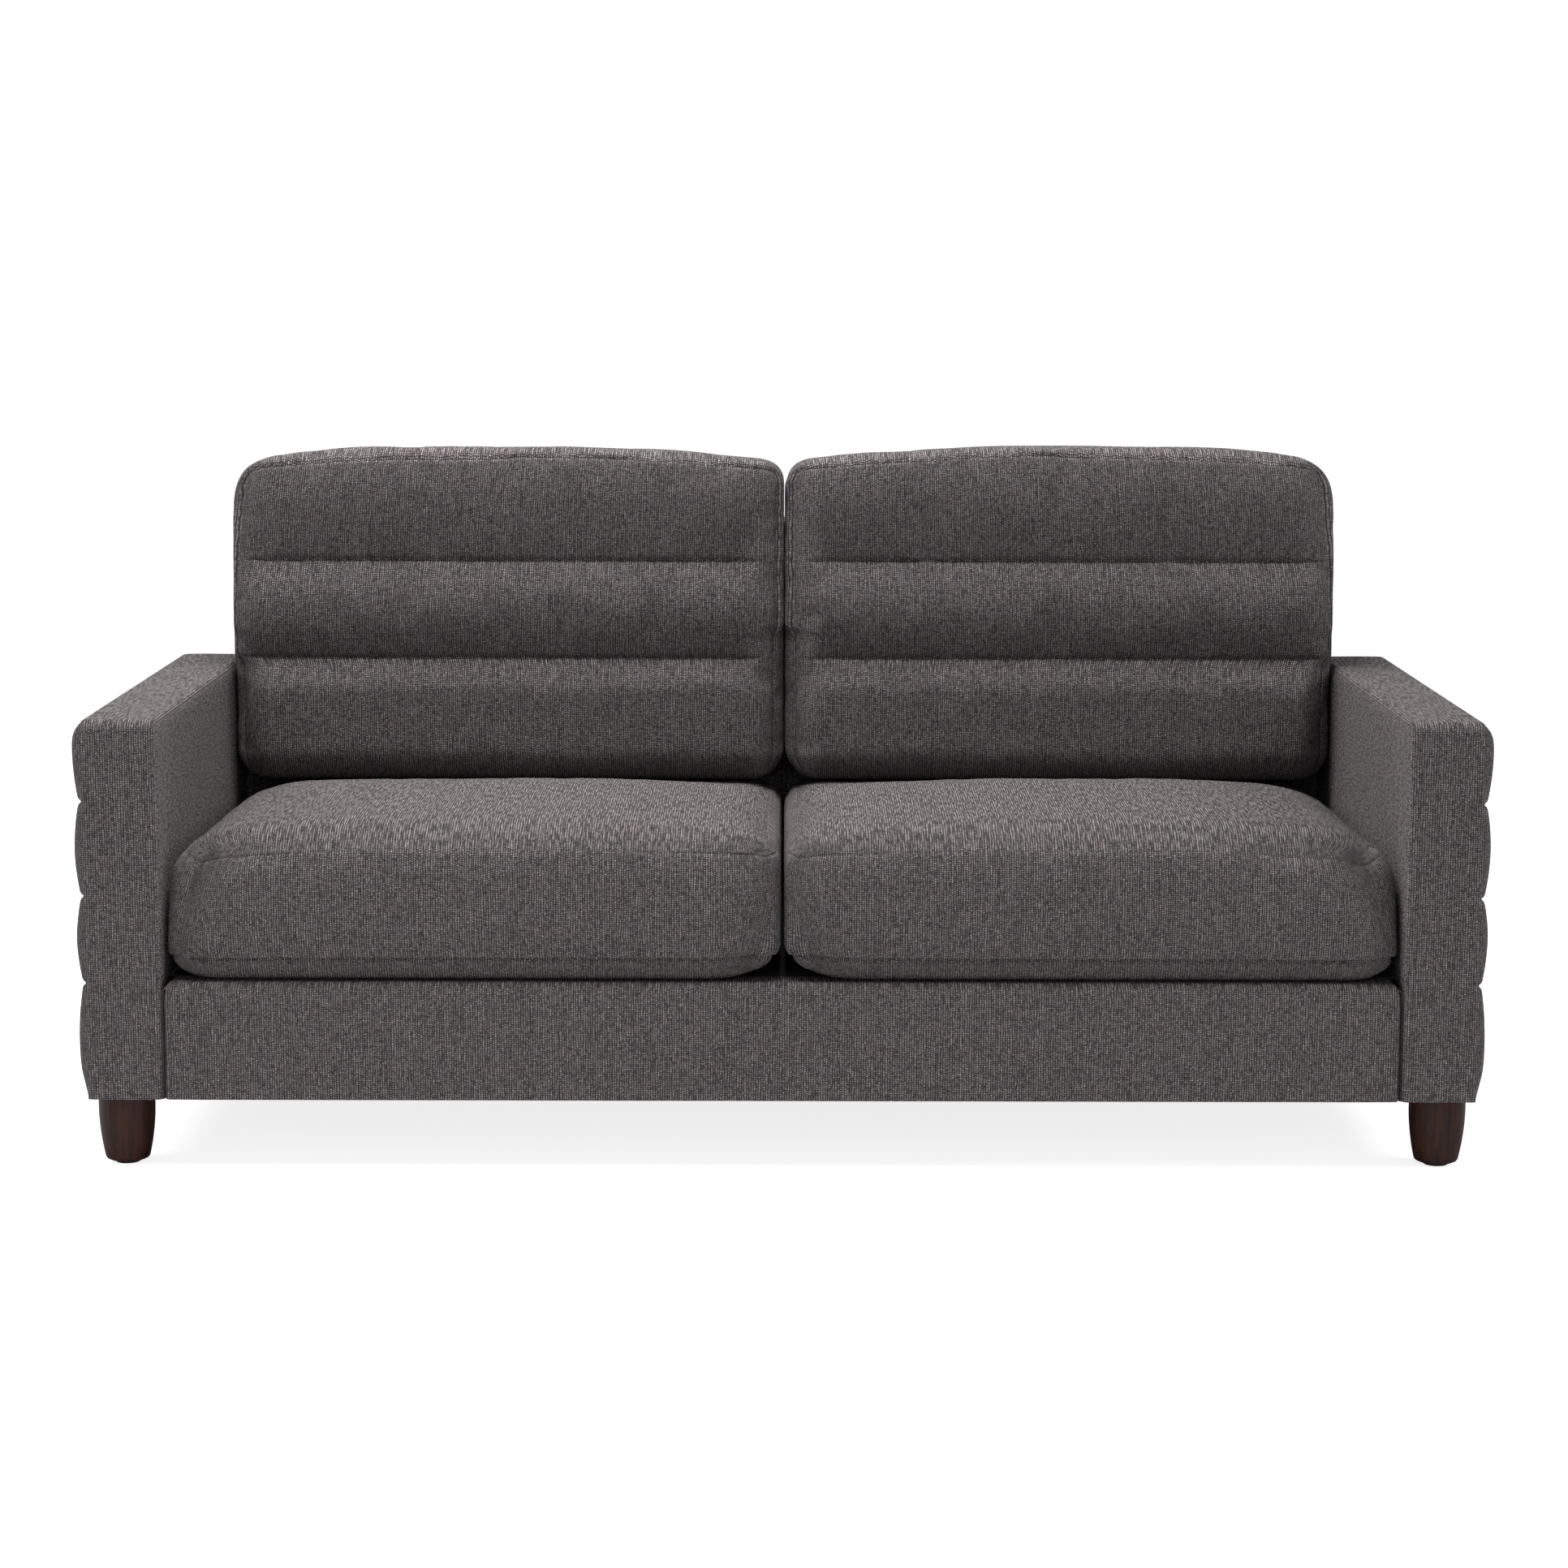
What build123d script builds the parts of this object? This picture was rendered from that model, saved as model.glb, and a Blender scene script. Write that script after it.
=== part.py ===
from build123d import *
import math
import os

# A two-seat sofa with padded track arms. It stands on the floor at Z = 0, its front towards -Y.
# Driving dimensions, in millimetres.
overall_width = 2000.0
overall_depth = 900.0
arm_height = 645.0
arm_width = 121.0
hem_height = 102.0
deck_height = 270.0
seat_seam_height = 460.0
seat_crown_height = 495.0
frame_back_height = 870.0
back_height = 992.0

# Fits: a loose cushion lies a hair off what carries it, and a drilled hole is wider than its bolt.
cushion_clearance = 0.3
cushion_gap = 4.0
bolt_clearance = 0.3

# Stock that several pieces are cut from.
rail_thickness = 25.0
panel_thickness = 3.0
hem_fold = 2.0
bolt_diameter = 8.0

front_y = -overall_depth / 2
rear_y = overall_depth / 2
inner_x = overall_width / 2 - arm_width
timber_bottom = hem_height + hem_fold
sides = {"left": -1, "right": 1}

os.makedirs("parts", exist_ok=True)


def save(name, shape):
    """Writes one piece, or a group of like pieces, under its name."""
    export_step(shape, f"parts/{name}.step")


def group(shapes):
    """Separate pieces of one kind, kept apart in one group."""
    return Compound(children=[solid for shape in shapes for solid in shape.solids()])


def block(xs, ys, zs):
    """A squared board between two values on each axis, given in either order."""
    size = [abs(high - low) for low, high in (xs, ys, zs)]
    middle = [(low + high) / 2 for low, high in (xs, ys, zs)]
    return Pos(*middle) * Box(*size)


def mirrored(side, xs):
    """Places measured on the right side, taken to the named side."""
    return [side * x for x in xs]


def quarter_rise(radius):
    """How far a quarter circle stands out from its chord."""
    return radius * (1 - math.sqrt(0.5))


def outline(place, corners, rises):
    """A closed wire run clockwise through corners. A side with a rise is an arc that stands out by it."""
    edges = []
    for number, rise in enumerate(rises):
        start = corners[number]
        end = corners[(number + 1) % len(corners)]
        run = end[0] - start[0]
        climb = end[1] - start[1]
        length = math.hypot(run, climb)
        middle = (
            (start[0] + end[0]) / 2 - climb / length * rise,
            (start[1] + end[1]) / 2 + run / length * rise,
        )
        if rise == 0:
            edges.append(Edge.make_line(place(*start), place(*end)))
        else:
            edges.append(Edge.make_three_point_arc(place(*start), place(*middle), place(*end)))
    return Wire(edges)


def prism(axis, corners, span, rises=None):
    """An outline drawn across an axis and carried along it. Its corners are the other two values."""
    place = {
        "X": lambda along, a, b: (along, a, b),
        "Y": lambda along, a, b: (a, along, b),
        "Z": lambda along, a, b: (a, b, along),
    }[axis]
    low, high = sorted(span)
    wire = outline(lambda a, b: place(low, a, b), corners, rises or [0] * len(corners))
    return extrude(Face(wire), amount=high - low, dir=place(1, 0, 0))


def rod(axis, centre, diameter, length):
    """A round bar or bore, centred on a point."""
    turn = {"X": Rot(0, 90, 0), "Z": Rot(0, 0, 0)}[axis]
    return Pos(*centre) * turn * Cylinder(diameter / 2, length)


# Legs: turned hardwood, a little barrelled. Each takes a hanger bolt through a steel plate under its arm.
leg_inset_x = 59.0
leg_inset_y = 53.0
leg_top_diameter = 80.0
leg_foot_diameter = 61.0
leg_barrel = 2.2
leg_tapers = 2
glide_diameter = 34.0
glide_height = 4.0
plate_size = 64.0
plate_thickness = 3.0
hanger_reach = 32.0
bore_overreach = 2.0

leg_top = timber_bottom - plate_thickness
leg_x = overall_width / 2 - leg_inset_x
leg_y = overall_depth / 2 - leg_inset_y
bore_diameter = bolt_diameter + 2 * bolt_clearance


def leg_bore(x, y):
    """The hole for one leg's hanger bolt, through leg, plate and arm rail."""
    return rod("Z", (x, y, timber_bottom), bore_diameter, 2 * (hanger_reach + bore_overreach))


def leg(x, y):
    """A cone turned in a few straight tapers, which stand out from it most at its middle."""
    corners = [(0, leg_top)]
    for number in range(leg_tapers + 1):
        share = number / leg_tapers
        cone = leg_top_diameter + share * (leg_foot_diameter - leg_top_diameter)
        barrel = leg_barrel * (1 - (2 * share - 1) ** 2)
        corners.append((cone / 2 + barrel, leg_top - share * (leg_top - glide_height)))
    corners.append((0, glide_height))
    half = Face(outline(lambda across, z: (across, 0, z), corners, [0] * len(corners)))
    return Pos(x, y, 0) * revolve(half, Axis.Z) - leg_bore(x, y)


leg_plates = []
leg_bolts = []
leg_glides = []
for end, y in {"front": -leg_y, "rear": leg_y}.items():
    save(f"legs_{end}", group(leg(side * leg_x, y) for side in sides.values()))
    for side in sides.values():
        x = side * leg_x
        plate_xs = (x - plate_size / 2, x + plate_size / 2)
        plate_ys = (y - plate_size / 2, y + plate_size / 2)
        leg_plates.append(block(plate_xs, plate_ys, (leg_top, timber_bottom)) - leg_bore(x, y))
        leg_bolts.append(rod("Z", (x, y, timber_bottom), bolt_diameter, 2 * hanger_reach))
        leg_glides.append(rod("Z", (x, y, glide_height / 2), glide_diameter, glide_height))
save("leg_plates", group(leg_plates))
save("leg_bolts", group(leg_bolts))
save("leg_glides", group(leg_glides))

# Seat suspension, stacked on the rails: clips, spring wire, tie strips, deck.
deck_thickness = 4.2
tie_thickness = 2.0
spring_wire = 4.0
clip_gauge = 1.2

deck_top = deck_height - cushion_clearance
deck_bottom = deck_top - deck_thickness
spring_top = deck_bottom - tie_thickness
spring_bottom = spring_top - spring_wire
seat_rail_top = spring_bottom - clip_gauge

# Arms: a box of posts and boards, closed by thin panels and padded. The outer pad is sewn into four
# channels. The band runs up the front, over the top and down the back.
band_thickness = 14.0
inner_pad_thickness = 11.0
outer_pad_thickness = 12.0
channel_rise = 9.0
channel_seam_shares = (0.785, 0.536, 0.306)
channel_foot_inset = 4.0
top_corner_inset = 2.0
top_corner_drop = 28.0
top_corner_rise = 6.0
top_channel_rise = 4.5
band_face_inset = 16.0
band_corner_radius = 24.0
band_inner_radius = 6.0
band_edge_chamfer = 3.0
post_thickness = 22.0
arm_top_thickness = 20.0
arm_rail_height = 40.0

channel_seam_x = overall_width / 2 - channel_rise
outer_pad_x = channel_seam_x - outer_pad_thickness
arm_frame_outer_x = outer_pad_x - panel_thickness
inner_panel_x = inner_x + inner_pad_thickness
arm_frame_inner_x = inner_panel_x + panel_thickness
arm_frame_front = front_y + band_thickness
arm_frame_rear = rear_y - band_thickness
arm_frame_top = arm_height - band_thickness
post_top = arm_frame_top - arm_top_thickness
arm_rail_top = timber_bottom + arm_rail_height

# Bolts that hold each arm to the seat frame, through the seat's side rail into the arm's bottom rail.
arm_bolt_shares = (0.3, 0.7)
arm_bolt_grip = 30.0
bolt_head_width = 13.0
bolt_head_height = 5.5
arm_bolt_z = timber_bottom + arm_rail_height / 2
arm_bolt_ys = [front_y + share * overall_depth for share in arm_bolt_shares]
side_rail_x = arm_frame_inner_x - rail_thickness


def bolt(side, seat, reach):
    """A hexagon bolt. Its head stands off the seat, and its shank runs from there into the arm."""
    head = extrude(RegularPolygon(bolt_head_width / 2, 6, major_radius=False), -bolt_head_height)
    shank = Pos(0, 0, reach / 2) * Cylinder(bolt_diameter / 2, reach)
    return Pos(*seat) * Rot(0, side * 90, 0) * (head + shank)


def arm_bores(side):
    """Holes for the bolts of one arm, as deep as the bolts reach."""
    reach = rail_thickness + arm_bolt_grip + bore_overreach
    middle = side * (side_rail_x + reach / 2)
    return [rod("X", (middle, y, arm_bolt_z), bore_diameter, reach) for y in arm_bolt_ys]


def arm_bottom_rail(side):
    ys = (arm_frame_front + post_thickness, arm_frame_rear - post_thickness)
    rail = block(mirrored(side, arm_frame_xs), ys, (timber_bottom, arm_rail_top))
    for bore in arm_bores(side):
        rail -= bore
    for y in (-leg_y, leg_y):
        rail -= leg_bore(side * leg_x, y)
    return rail


def arm_post(side, ys):
    post = block(mirrored(side, arm_frame_xs), ys, (timber_bottom, post_top))
    for y in (-leg_y, leg_y):
        post -= leg_bore(side * leg_x, y)
    return post


def arm_outer_pad(side):
    seam_heights = [hem_height + share * (arm_height - hem_height) for share in channel_seam_shares]
    shoulder = (overall_width / 2 - top_corner_inset, arm_height - top_corner_drop)
    foot = (channel_seam_x - channel_foot_inset, hem_height)
    corners = [(outer_pad_x, hem_height), (outer_pad_x, arm_height), shoulder]
    corners += [(channel_seam_x, height) for height in seam_heights] + [foot]
    rises = [0, top_corner_rise, top_channel_rise] + [channel_rise] * len(seam_heights) + [0]
    return prism(
        "Y",
        [(side * x, z) for x, z in corners],
        (arm_frame_front, arm_frame_rear),
        [side * rise for rise in rises],
    )


def arm_face_outline(outer_x, outer_radius, low):
    """Corners and rises of the band, seen from the front, with its two top corners rounded."""
    corners = [
        (inner_x, low),
        (inner_x, arm_height - band_inner_radius),
        (inner_x + band_inner_radius, arm_height),
        (outer_x - outer_radius, arm_height),
        (outer_x, arm_height - outer_radius),
        (outer_x, low),
    ]
    rises = [0, quarter_rise(band_inner_radius), 0, quarter_rise(outer_radius), 0, 0]
    return corners, rises


def arm_band(side):
    face_corners, face_rises = arm_face_outline(
        overall_width / 2 - band_face_inset, band_corner_radius, hem_height
    )
    strap_corners = [
        (inner_x, arm_frame_top),
        (inner_x, arm_height - band_inner_radius),
        (inner_x + band_inner_radius, arm_height),
        (outer_pad_x, arm_height),
        (outer_pad_x, arm_frame_top),
    ]
    strap_rises = [0, quarter_rise(band_inner_radius), 0, 0, 0]
    face_corners = [(side * x, z) for x, z in face_corners]
    face_rises = [side * rise for rise in face_rises]
    front = prism("Y", face_corners, (front_y, arm_frame_front), face_rises)
    front = chamfer(front.faces().sort_by(Axis.Y)[0].edges(), band_edge_chamfer)
    rear = prism("Y", face_corners, (arm_frame_rear, rear_y), face_rises)
    strap = prism(
        "Y",
        [(side * x, z) for x, z in strap_corners],
        (arm_frame_front, arm_frame_rear),
        [side * rise for rise in strap_rises],
    )
    return front + strap + rear


arm_frame_xs = (arm_frame_inner_x, arm_frame_outer_x)
arm_frame_ys = (arm_frame_front, arm_frame_rear)
arm_bolts = []
for name, side in sides.items():
    inner_pad_xs = mirrored(side, (inner_x, inner_panel_x))
    inner_panel_xs = mirrored(side, (inner_panel_x, arm_frame_inner_x))
    outer_panel_xs = mirrored(side, (arm_frame_outer_x, outer_pad_x))
    arm_board_xs = mirrored(side, arm_frame_xs)
    save(f"arm_front_post_{name}", arm_post(side, (arm_frame_front, arm_frame_front + post_thickness)))
    save(f"arm_rear_post_{name}", arm_post(side, (arm_frame_rear - post_thickness, arm_frame_rear)))
    save(f"arm_bottom_rail_{name}", arm_bottom_rail(side))
    save(f"arm_top_board_{name}", block(arm_board_xs, arm_frame_ys, (post_top, arm_frame_top)))
    save(f"arm_inner_panel_{name}", block(inner_panel_xs, arm_frame_ys, (seat_rail_top, arm_frame_top)))
    save(f"arm_outer_panel_{name}", block(outer_panel_xs, arm_frame_ys, (timber_bottom, arm_frame_top)))
    save(f"arm_inner_pad_{name}", block(inner_pad_xs, arm_frame_ys, (seat_rail_top, arm_frame_top)))
    save(f"arm_outer_pad_{name}", arm_outer_pad(side))
    save(f"arm_band_{name}", arm_band(side))
    for y in arm_bolt_ys:
        seat = (side * side_rail_x, y, arm_bolt_z)
        arm_bolts.append(bolt(side, seat, rail_thickness + arm_bolt_grip))
save("arm_bolts", group(arm_bolts))

# Back: raked posts and rails, webbed both ways, under a padded cover, with a fabric panel behind.
back_face_setback = 73.0
back_lean = 18.0
cover_thickness = 10.0
cover_top_thickness = 12.0
cover_side_thickness = 8.0
cover_top_radius = 9.0
outback_thickness = 10.0
strap_thickness = 2.0
strap_width = 50.0
strap_count = 6
cross_strap_shares = (0.24, 0.5, 0.76)
lower_rail_lift = 20.0
lower_rail_height = 40.0
foot_rail_height = 40.0
back_top_rail_height = 25.0

back_rake = back_lean / (frame_back_height - deck_height)
back_frame_rear = rear_y - outback_thickness
back_frame_x = inner_x - cover_side_thickness
back_post_x = back_frame_x - rail_thickness
back_frame_top = frame_back_height - cover_top_thickness
back_post_top = back_frame_top - back_top_rail_height
lower_rail_bottom = deck_height + lower_rail_lift
lower_rail_top = lower_rail_bottom + lower_rail_height


def inside_back_y(z):
    """Where the padded inside of the back lies at a height. It leans back as it rises."""
    return rear_y - back_face_setback + back_rake * (z - deck_height)


def raked(z_low, z_high, depth_low, depth_high):
    """Corners of a piece that follows the inside of the back, between two depths behind it."""
    return [
        (inside_back_y(z_low) + depth_low, z_low),
        (inside_back_y(z_high) + depth_low, z_high),
        (inside_back_y(z_high) + depth_high, z_high),
        (inside_back_y(z_low) + depth_high, z_low),
    ]


def back_member(z_low, z_high, xs):
    """A post or rail that fills the back's frame from the webbing to the outback panel."""
    corners = raked(z_low, z_high, frame_depth, frame_depth)
    corners[2] = (back_frame_rear, z_high)
    corners[3] = (back_frame_rear, z_low)
    return prism("X", corners, xs)


def back_cover():
    """Padding that is drawn over the back's frame like a cap, open below and behind."""
    bend = cover_top_radius
    corners = [
        (inside_back_y(seat_rail_top), seat_rail_top),
        (inside_back_y(frame_back_height - bend), frame_back_height - bend),
        (inside_back_y(frame_back_height - bend) + bend, frame_back_height),
        (back_frame_rear, frame_back_height),
        (back_frame_rear, seat_rail_top),
    ]
    rises = [0, quarter_rise(bend), 0, 0, 0]
    cap = prism("X", corners, (-inner_x, inner_x), rises)
    hollow = raked(timber_bottom, back_frame_top, cover_thickness, cover_thickness)
    hollow[2] = (rear_y, back_frame_top)
    hollow[3] = (rear_y, timber_bottom)
    return cap - prism("X", hollow, (-back_frame_x, back_frame_x))


def back_webbing():
    """Upright straps from the lower rails to the top rail, between the posts."""
    straps = []
    behind = cover_thickness + strap_thickness
    corners = raked(lower_rail_bottom, back_frame_top, cover_thickness, behind)
    pitch = 2 * back_frame_x / (strap_count + 1)
    for number in range(strap_count):
        middle = -back_frame_x + pitch * (number + 1)
        straps.append(prism("X", corners, (middle - strap_width / 2, middle + strap_width / 2)))
    return group(straps)


def back_cross_webbing():
    """Level straps behind the upright ones, fixed to the posts."""
    straps = []
    for share in cross_strap_shares:
        middle = lower_rail_top + share * (back_post_top - lower_rail_top)
        depth = cover_thickness + strap_thickness
        corners = raked(middle - strap_width / 2, middle + strap_width / 2, depth, frame_depth)
        straps.append(prism("X", corners, (-back_frame_x, back_frame_x)))
    return group(straps)


frame_depth = cover_thickness + 2 * strap_thickness
back_bays = [mirrored(side, (rail_thickness / 2, back_post_x)) for side in sides.values()]
centre_xs = (-rail_thickness / 2, rail_thickness / 2)
save("back_post_centre", back_member(timber_bottom, back_post_top, centre_xs))
for name, side in sides.items():
    side_post_xs = mirrored(side, (back_post_x, back_frame_x))
    save(f"back_post_{name}", back_member(timber_bottom, back_post_top, side_post_xs))
save("back_top_rail", back_member(back_post_top, back_frame_top, (-back_frame_x, back_frame_x)))
lower_rail = raked(lower_rail_bottom, lower_rail_top, frame_depth, frame_depth + rail_thickness)
save("back_lower_rails", group(prism("X", lower_rail, bay) for bay in back_bays))
foot_rail_ys = (back_frame_rear - rail_thickness, back_frame_rear)
foot_rail_zs = (timber_bottom, timber_bottom + foot_rail_height)
save("back_foot_rails", group(block(bay, foot_rail_ys, foot_rail_zs) for bay in back_bays))
save("back_webbing", back_webbing())
save("back_cross_webbing", back_cross_webbing())
save("back_cover", back_cover())
outback_zs = (hem_height, frame_back_height)
save("outback_panel", block((-inner_x, inner_x), (back_frame_rear, rear_y), outback_zs))

# Seat frame: rails between the arms, a centre stretcher and corner blocks.
front_pad_thickness = 20.0
front_pad_top_run = 70.0
front_pad_radius = 14.0
front_pad_inset = 0.5
dust_cloth = 1.5
dust_cut_margin = 3.0
stretcher_drop = 22.0
corner_block_size = 80.0
corner_block_height = 60.0

front_rail_ys = (front_y + front_pad_thickness, front_y + front_pad_thickness + rail_thickness)
rear_rail_rear = inside_back_y(timber_bottom) + frame_depth
rear_rail_ys = (rear_rail_rear - rail_thickness, rear_rail_rear)
seat_frame_xs = (-arm_frame_inner_x, arm_frame_inner_x)
seat_rail_zs = (timber_bottom, seat_rail_top)
side_rail_ys = (front_rail_ys[1], rear_rail_ys[0])


def corner_block(side, inner_y, towards):
    """A triangular block glued into one corner of the seat frame."""
    corner_x = side * side_rail_x
    corners = [
        (corner_x, inner_y),
        (corner_x - side * corner_block_size, inner_y),
        (corner_x, inner_y + towards * corner_block_size),
    ]
    return prism("Z", corners, (timber_bottom, timber_bottom + corner_block_height))


def seat_side_rail(side):
    rail = block(mirrored(side, (side_rail_x, arm_frame_inner_x)), side_rail_ys, seat_rail_zs)
    for bore in arm_bores(side):
        rail -= bore
    return rail


def front_rail_pad():
    """Padding over the face of the front rail, turned back over its top under the cushions."""
    face_y = front_y + front_pad_inset
    corners = [
        (face_y, hem_height),
        (face_y, deck_top - front_pad_radius),
        (face_y + front_pad_radius, deck_top),
        (front_y + front_pad_top_run, deck_top),
        (front_y + front_pad_top_run, deck_bottom),
        (front_rail_ys[0], deck_bottom),
        (front_rail_ys[0], hem_height),
    ]
    rises = [0, quarter_rise(front_pad_radius), 0, 0, 0, 0, 0]
    return prism("X", corners, (-inner_x, inner_x), rises)


def dust_cover():
    """Thin cloth under the frame, cut out round the leg plates."""
    cloth_x = arm_frame_outer_x
    cloth_ys = (front_rail_ys[0], arm_frame_rear)
    cloth = block((-cloth_x, cloth_x), cloth_ys, (timber_bottom - dust_cloth, timber_bottom))
    hole_half = plate_size / 2 + dust_cut_margin
    for x in (-leg_x, leg_x):
        for y in (-leg_y, leg_y):
            hole = block((x - hole_half, x + hole_half), (y - hole_half, y + hole_half), (0, arm_height))
            cloth -= hole
    return cloth


corner_blocks = []
for name, side in sides.items():
    save(f"seat_side_rail_{name}", seat_side_rail(side))
    corner_blocks.append(corner_block(side, side_rail_ys[0], 1))
    corner_blocks.append(corner_block(side, side_rail_ys[1], -1))
save("seat_front_rail", block(seat_frame_xs, front_rail_ys, seat_rail_zs))
save("seat_rear_rail", block(seat_frame_xs, rear_rail_ys, seat_rail_zs))
save("corner_blocks", group(corner_blocks))
stretcher_zs = (timber_bottom, seat_rail_top - stretcher_drop)
save("seat_centre_stretcher", block(centre_xs, side_rail_ys, stretcher_zs))
save("front_rail_pad", front_rail_pad())
save("dust_cover", dust_cover())

# Sinuous springs: flat zigzags of hard wire from the front rail to the rear rail, four under each cushion.
spring_count = 8
spring_width = 52.0
spring_step = 50.0
spring_bend = 10.0
spring_end_margin = 10.0
clip_width = 16.0
clip_wrap = 6.0
tie_width = 6.0
tie_shares = (0.36, 0.66)

spring_low = front_rail_ys[0] + spring_end_margin
spring_high = rear_rail_ys[0] + spring_end_margin
spring_rungs = 2 * round((spring_high - spring_low) / spring_step / 2)
spring_pitch = 2 * side_rail_x / spring_count
spring_xs = [-side_rail_x + spring_pitch * (number + 0.5) for number in range(spring_count)]


def strip(points, width):
    """The outline of a flat strip of even width along a line of points, with mitred corners."""
    left = []
    right = []
    for number, point in enumerate(points):
        before = points[number - 1] if number else point
        after = points[number + 1] if number + 1 < len(points) else point
        arriving = (Vector(*point) - Vector(*before)).normalized() if number else None
        leaving = (Vector(*after) - Vector(*point)).normalized() if after != point else arriving
        arriving = arriving or leaving
        across = Vector(-arriving.Y - leaving.Y, arriving.X + leaving.X)
        across = across * (width / 2 / (1 + arriving.dot(leaving)))
        left.append((point[0] + across.X, point[1] + across.Y))
        right.append((point[0] - across.X, point[1] - across.Y))
    return left + right[::-1]


def sinuous_spring(x):
    """One spring. Its wire crosses from side to side, and each turn is bent in three short lengths."""
    reach = spring_width / 2
    step = (spring_high - spring_low) / spring_rungs
    points = [(x - reach / 2, spring_low)]
    for rung in range(spring_rungs):
        side = 1 if rung % 2 == 0 else -1
        edge = x + side * reach
        low = spring_low + step * rung
        points.append((edge - side * spring_bend, low))
        points.append((edge, low + spring_bend))
        points.append((edge, low + step - spring_bend))
        points.append((edge - side * spring_bend, low + step))
    points.append((x + reach / 2, spring_high))
    face = Face(Wire.make_polygon([(a, b, spring_bottom) for a, b in strip(points, spring_wire)]))
    return extrude(face, amount=spring_wire, dir=(0, 0, 1))


def spring_clip(x, y, towards):
    """A steel clip under and over the last rung of a spring, open towards the seat."""
    back = y - towards * (spring_wire / 2 + clip_gauge)
    inside = y - towards * spring_wire / 2
    lip = y + towards * clip_wrap
    corners = [
        (back, seat_rail_top),
        (back, spring_top + clip_gauge),
        (lip, spring_top + clip_gauge),
        (lip, spring_top),
        (inside, spring_top),
        (inside, spring_bottom),
        (lip, spring_bottom),
        (lip, seat_rail_top),
    ]
    return prism("X", corners, (x - clip_width / 2, x + clip_width / 2))


save("seat_springs", group(sinuous_spring(x) for x in spring_xs))
clips = [spring_clip(x, spring_low, 1) for x in spring_xs]
clips += [spring_clip(x, spring_high, -1) for x in spring_xs]
save("spring_clips", group(clips))
tie_xs = (-side_rail_x, side_rail_x)
tie_ys = [spring_low + share * (spring_high - spring_low) for share in tie_shares]
ties = [block(tie_xs, (y - tie_width / 2, y + tie_width / 2), (spring_top, deck_bottom)) for y in tie_ys]
save("spring_ties", group(ties))
deck_ys = (front_y + front_pad_top_run, inside_back_y(seat_rail_top))
save("seat_deck", block((-inner_x, inner_x), deck_ys, (deck_bottom, deck_top)))

# Seat cushions: boxed, with a crowned top that is highest near the front, and round front corners.
seat_front_setback = 1.0
seat_face_rise = 10.0
seat_boxing_low = 27.0
seat_under_setback = 24.0
seat_under_rise = 5.0
seat_low_radius = 40.0
seat_high_radius = 29.0
seat_plan_radius = 24.0
seat_crown_setback = 270.0
seat_side_rise = 3.0
seat_rear_height = 430.0
seat_rear_side_drop = 12.0
cushion_station_shares = (0, 0.015, 0.04, 0.08, 0.16, 0.3, 0.6, 1)

seat_width = (2 * inner_x - 3 * cushion_gap) / 2
seat_half = seat_width / 2
cushion_centre_x = cushion_gap / 2 + seat_half
seat_rear_y = inside_back_y(deck_height) - cushion_clearance
seat_seam_y = front_y + seat_front_setback + seat_face_rise
seat_crown_y = front_y + seat_crown_setback


def corner_drop(inset, radius):
    """How far a round corner lies inside a square one, at an inset from the side."""
    left = max(radius - inset, 0)
    return radius - math.sqrt(radius**2 - left**2)


def fullness(inset):
    """How much of the crown is reached at an inset from a cushion's side, from 0 to 1 at its middle."""
    return 1 - (1 - inset / seat_half) ** 2


def level_arc_rise(run, climb):
    """How far an arc stands out from its chord where it ends level at its top."""
    radius = (run**2 + climb**2) / (2 * climb)
    return radius - math.sqrt(radius**2 - (run**2 + climb**2) / 4)


def seat_top_z(y):
    """The height of the seat's crown, at the middle of a cushion, behind its highest line."""
    run = seat_rear_y - seat_crown_y
    fall = seat_crown_height - seat_rear_height
    radius = (run**2 + fall**2) / (2 * fall)
    return seat_crown_height - radius + math.sqrt(radius**2 - (y - seat_crown_y) ** 2)


def seat_section(x, inset):
    """One upright section of a seat cushion, at an inset from its nearer side."""
    low = deck_height + corner_drop(inset, seat_low_radius)
    high = seat_seam_height - corner_drop(inset, seat_high_radius)
    plan = corner_drop(inset, seat_plan_radius)
    seam_y = seat_seam_y + plan
    rear = seat_rear_y - plan
    side_crown = high + seat_side_rise
    crown = side_crown + (seat_crown_height - side_crown) * fullness(inset)
    side_rear = seat_rear_height - seat_rear_side_drop - corner_drop(inset, seat_high_radius)
    rear_top = side_rear + (seat_rear_height - side_rear) * fullness(inset)
    corners = [
        (rear, low),
        (seam_y + seat_under_setback, low),
        (seam_y, low + seat_boxing_low),
        (seam_y, high),
        (seat_crown_y, crown),
        (rear, rear_top),
    ]
    rises = [
        0,
        seat_under_rise,
        seat_face_rise,
        level_arc_rise(seat_crown_y - seam_y, crown - high),
        level_arc_rise(rear - seat_crown_y, crown - rear_top),
        0,
    ]
    return outline(lambda y, z: (x, y, z), corners, rises)


def cushion(section, side):
    """Lofts a cushion on one side of the sofa through its sections, from left to right."""
    insets = [share * seat_half for share in cushion_station_shares]
    places = [(side * cushion_centre_x - seat_half + inset, inset) for inset in insets]
    places += [(side * cushion_centre_x + seat_half - inset, inset) for inset in insets[-2::-1]]
    return Solid.make_loft([section(x, inset) for x, inset in places], ruled=True)


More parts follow.
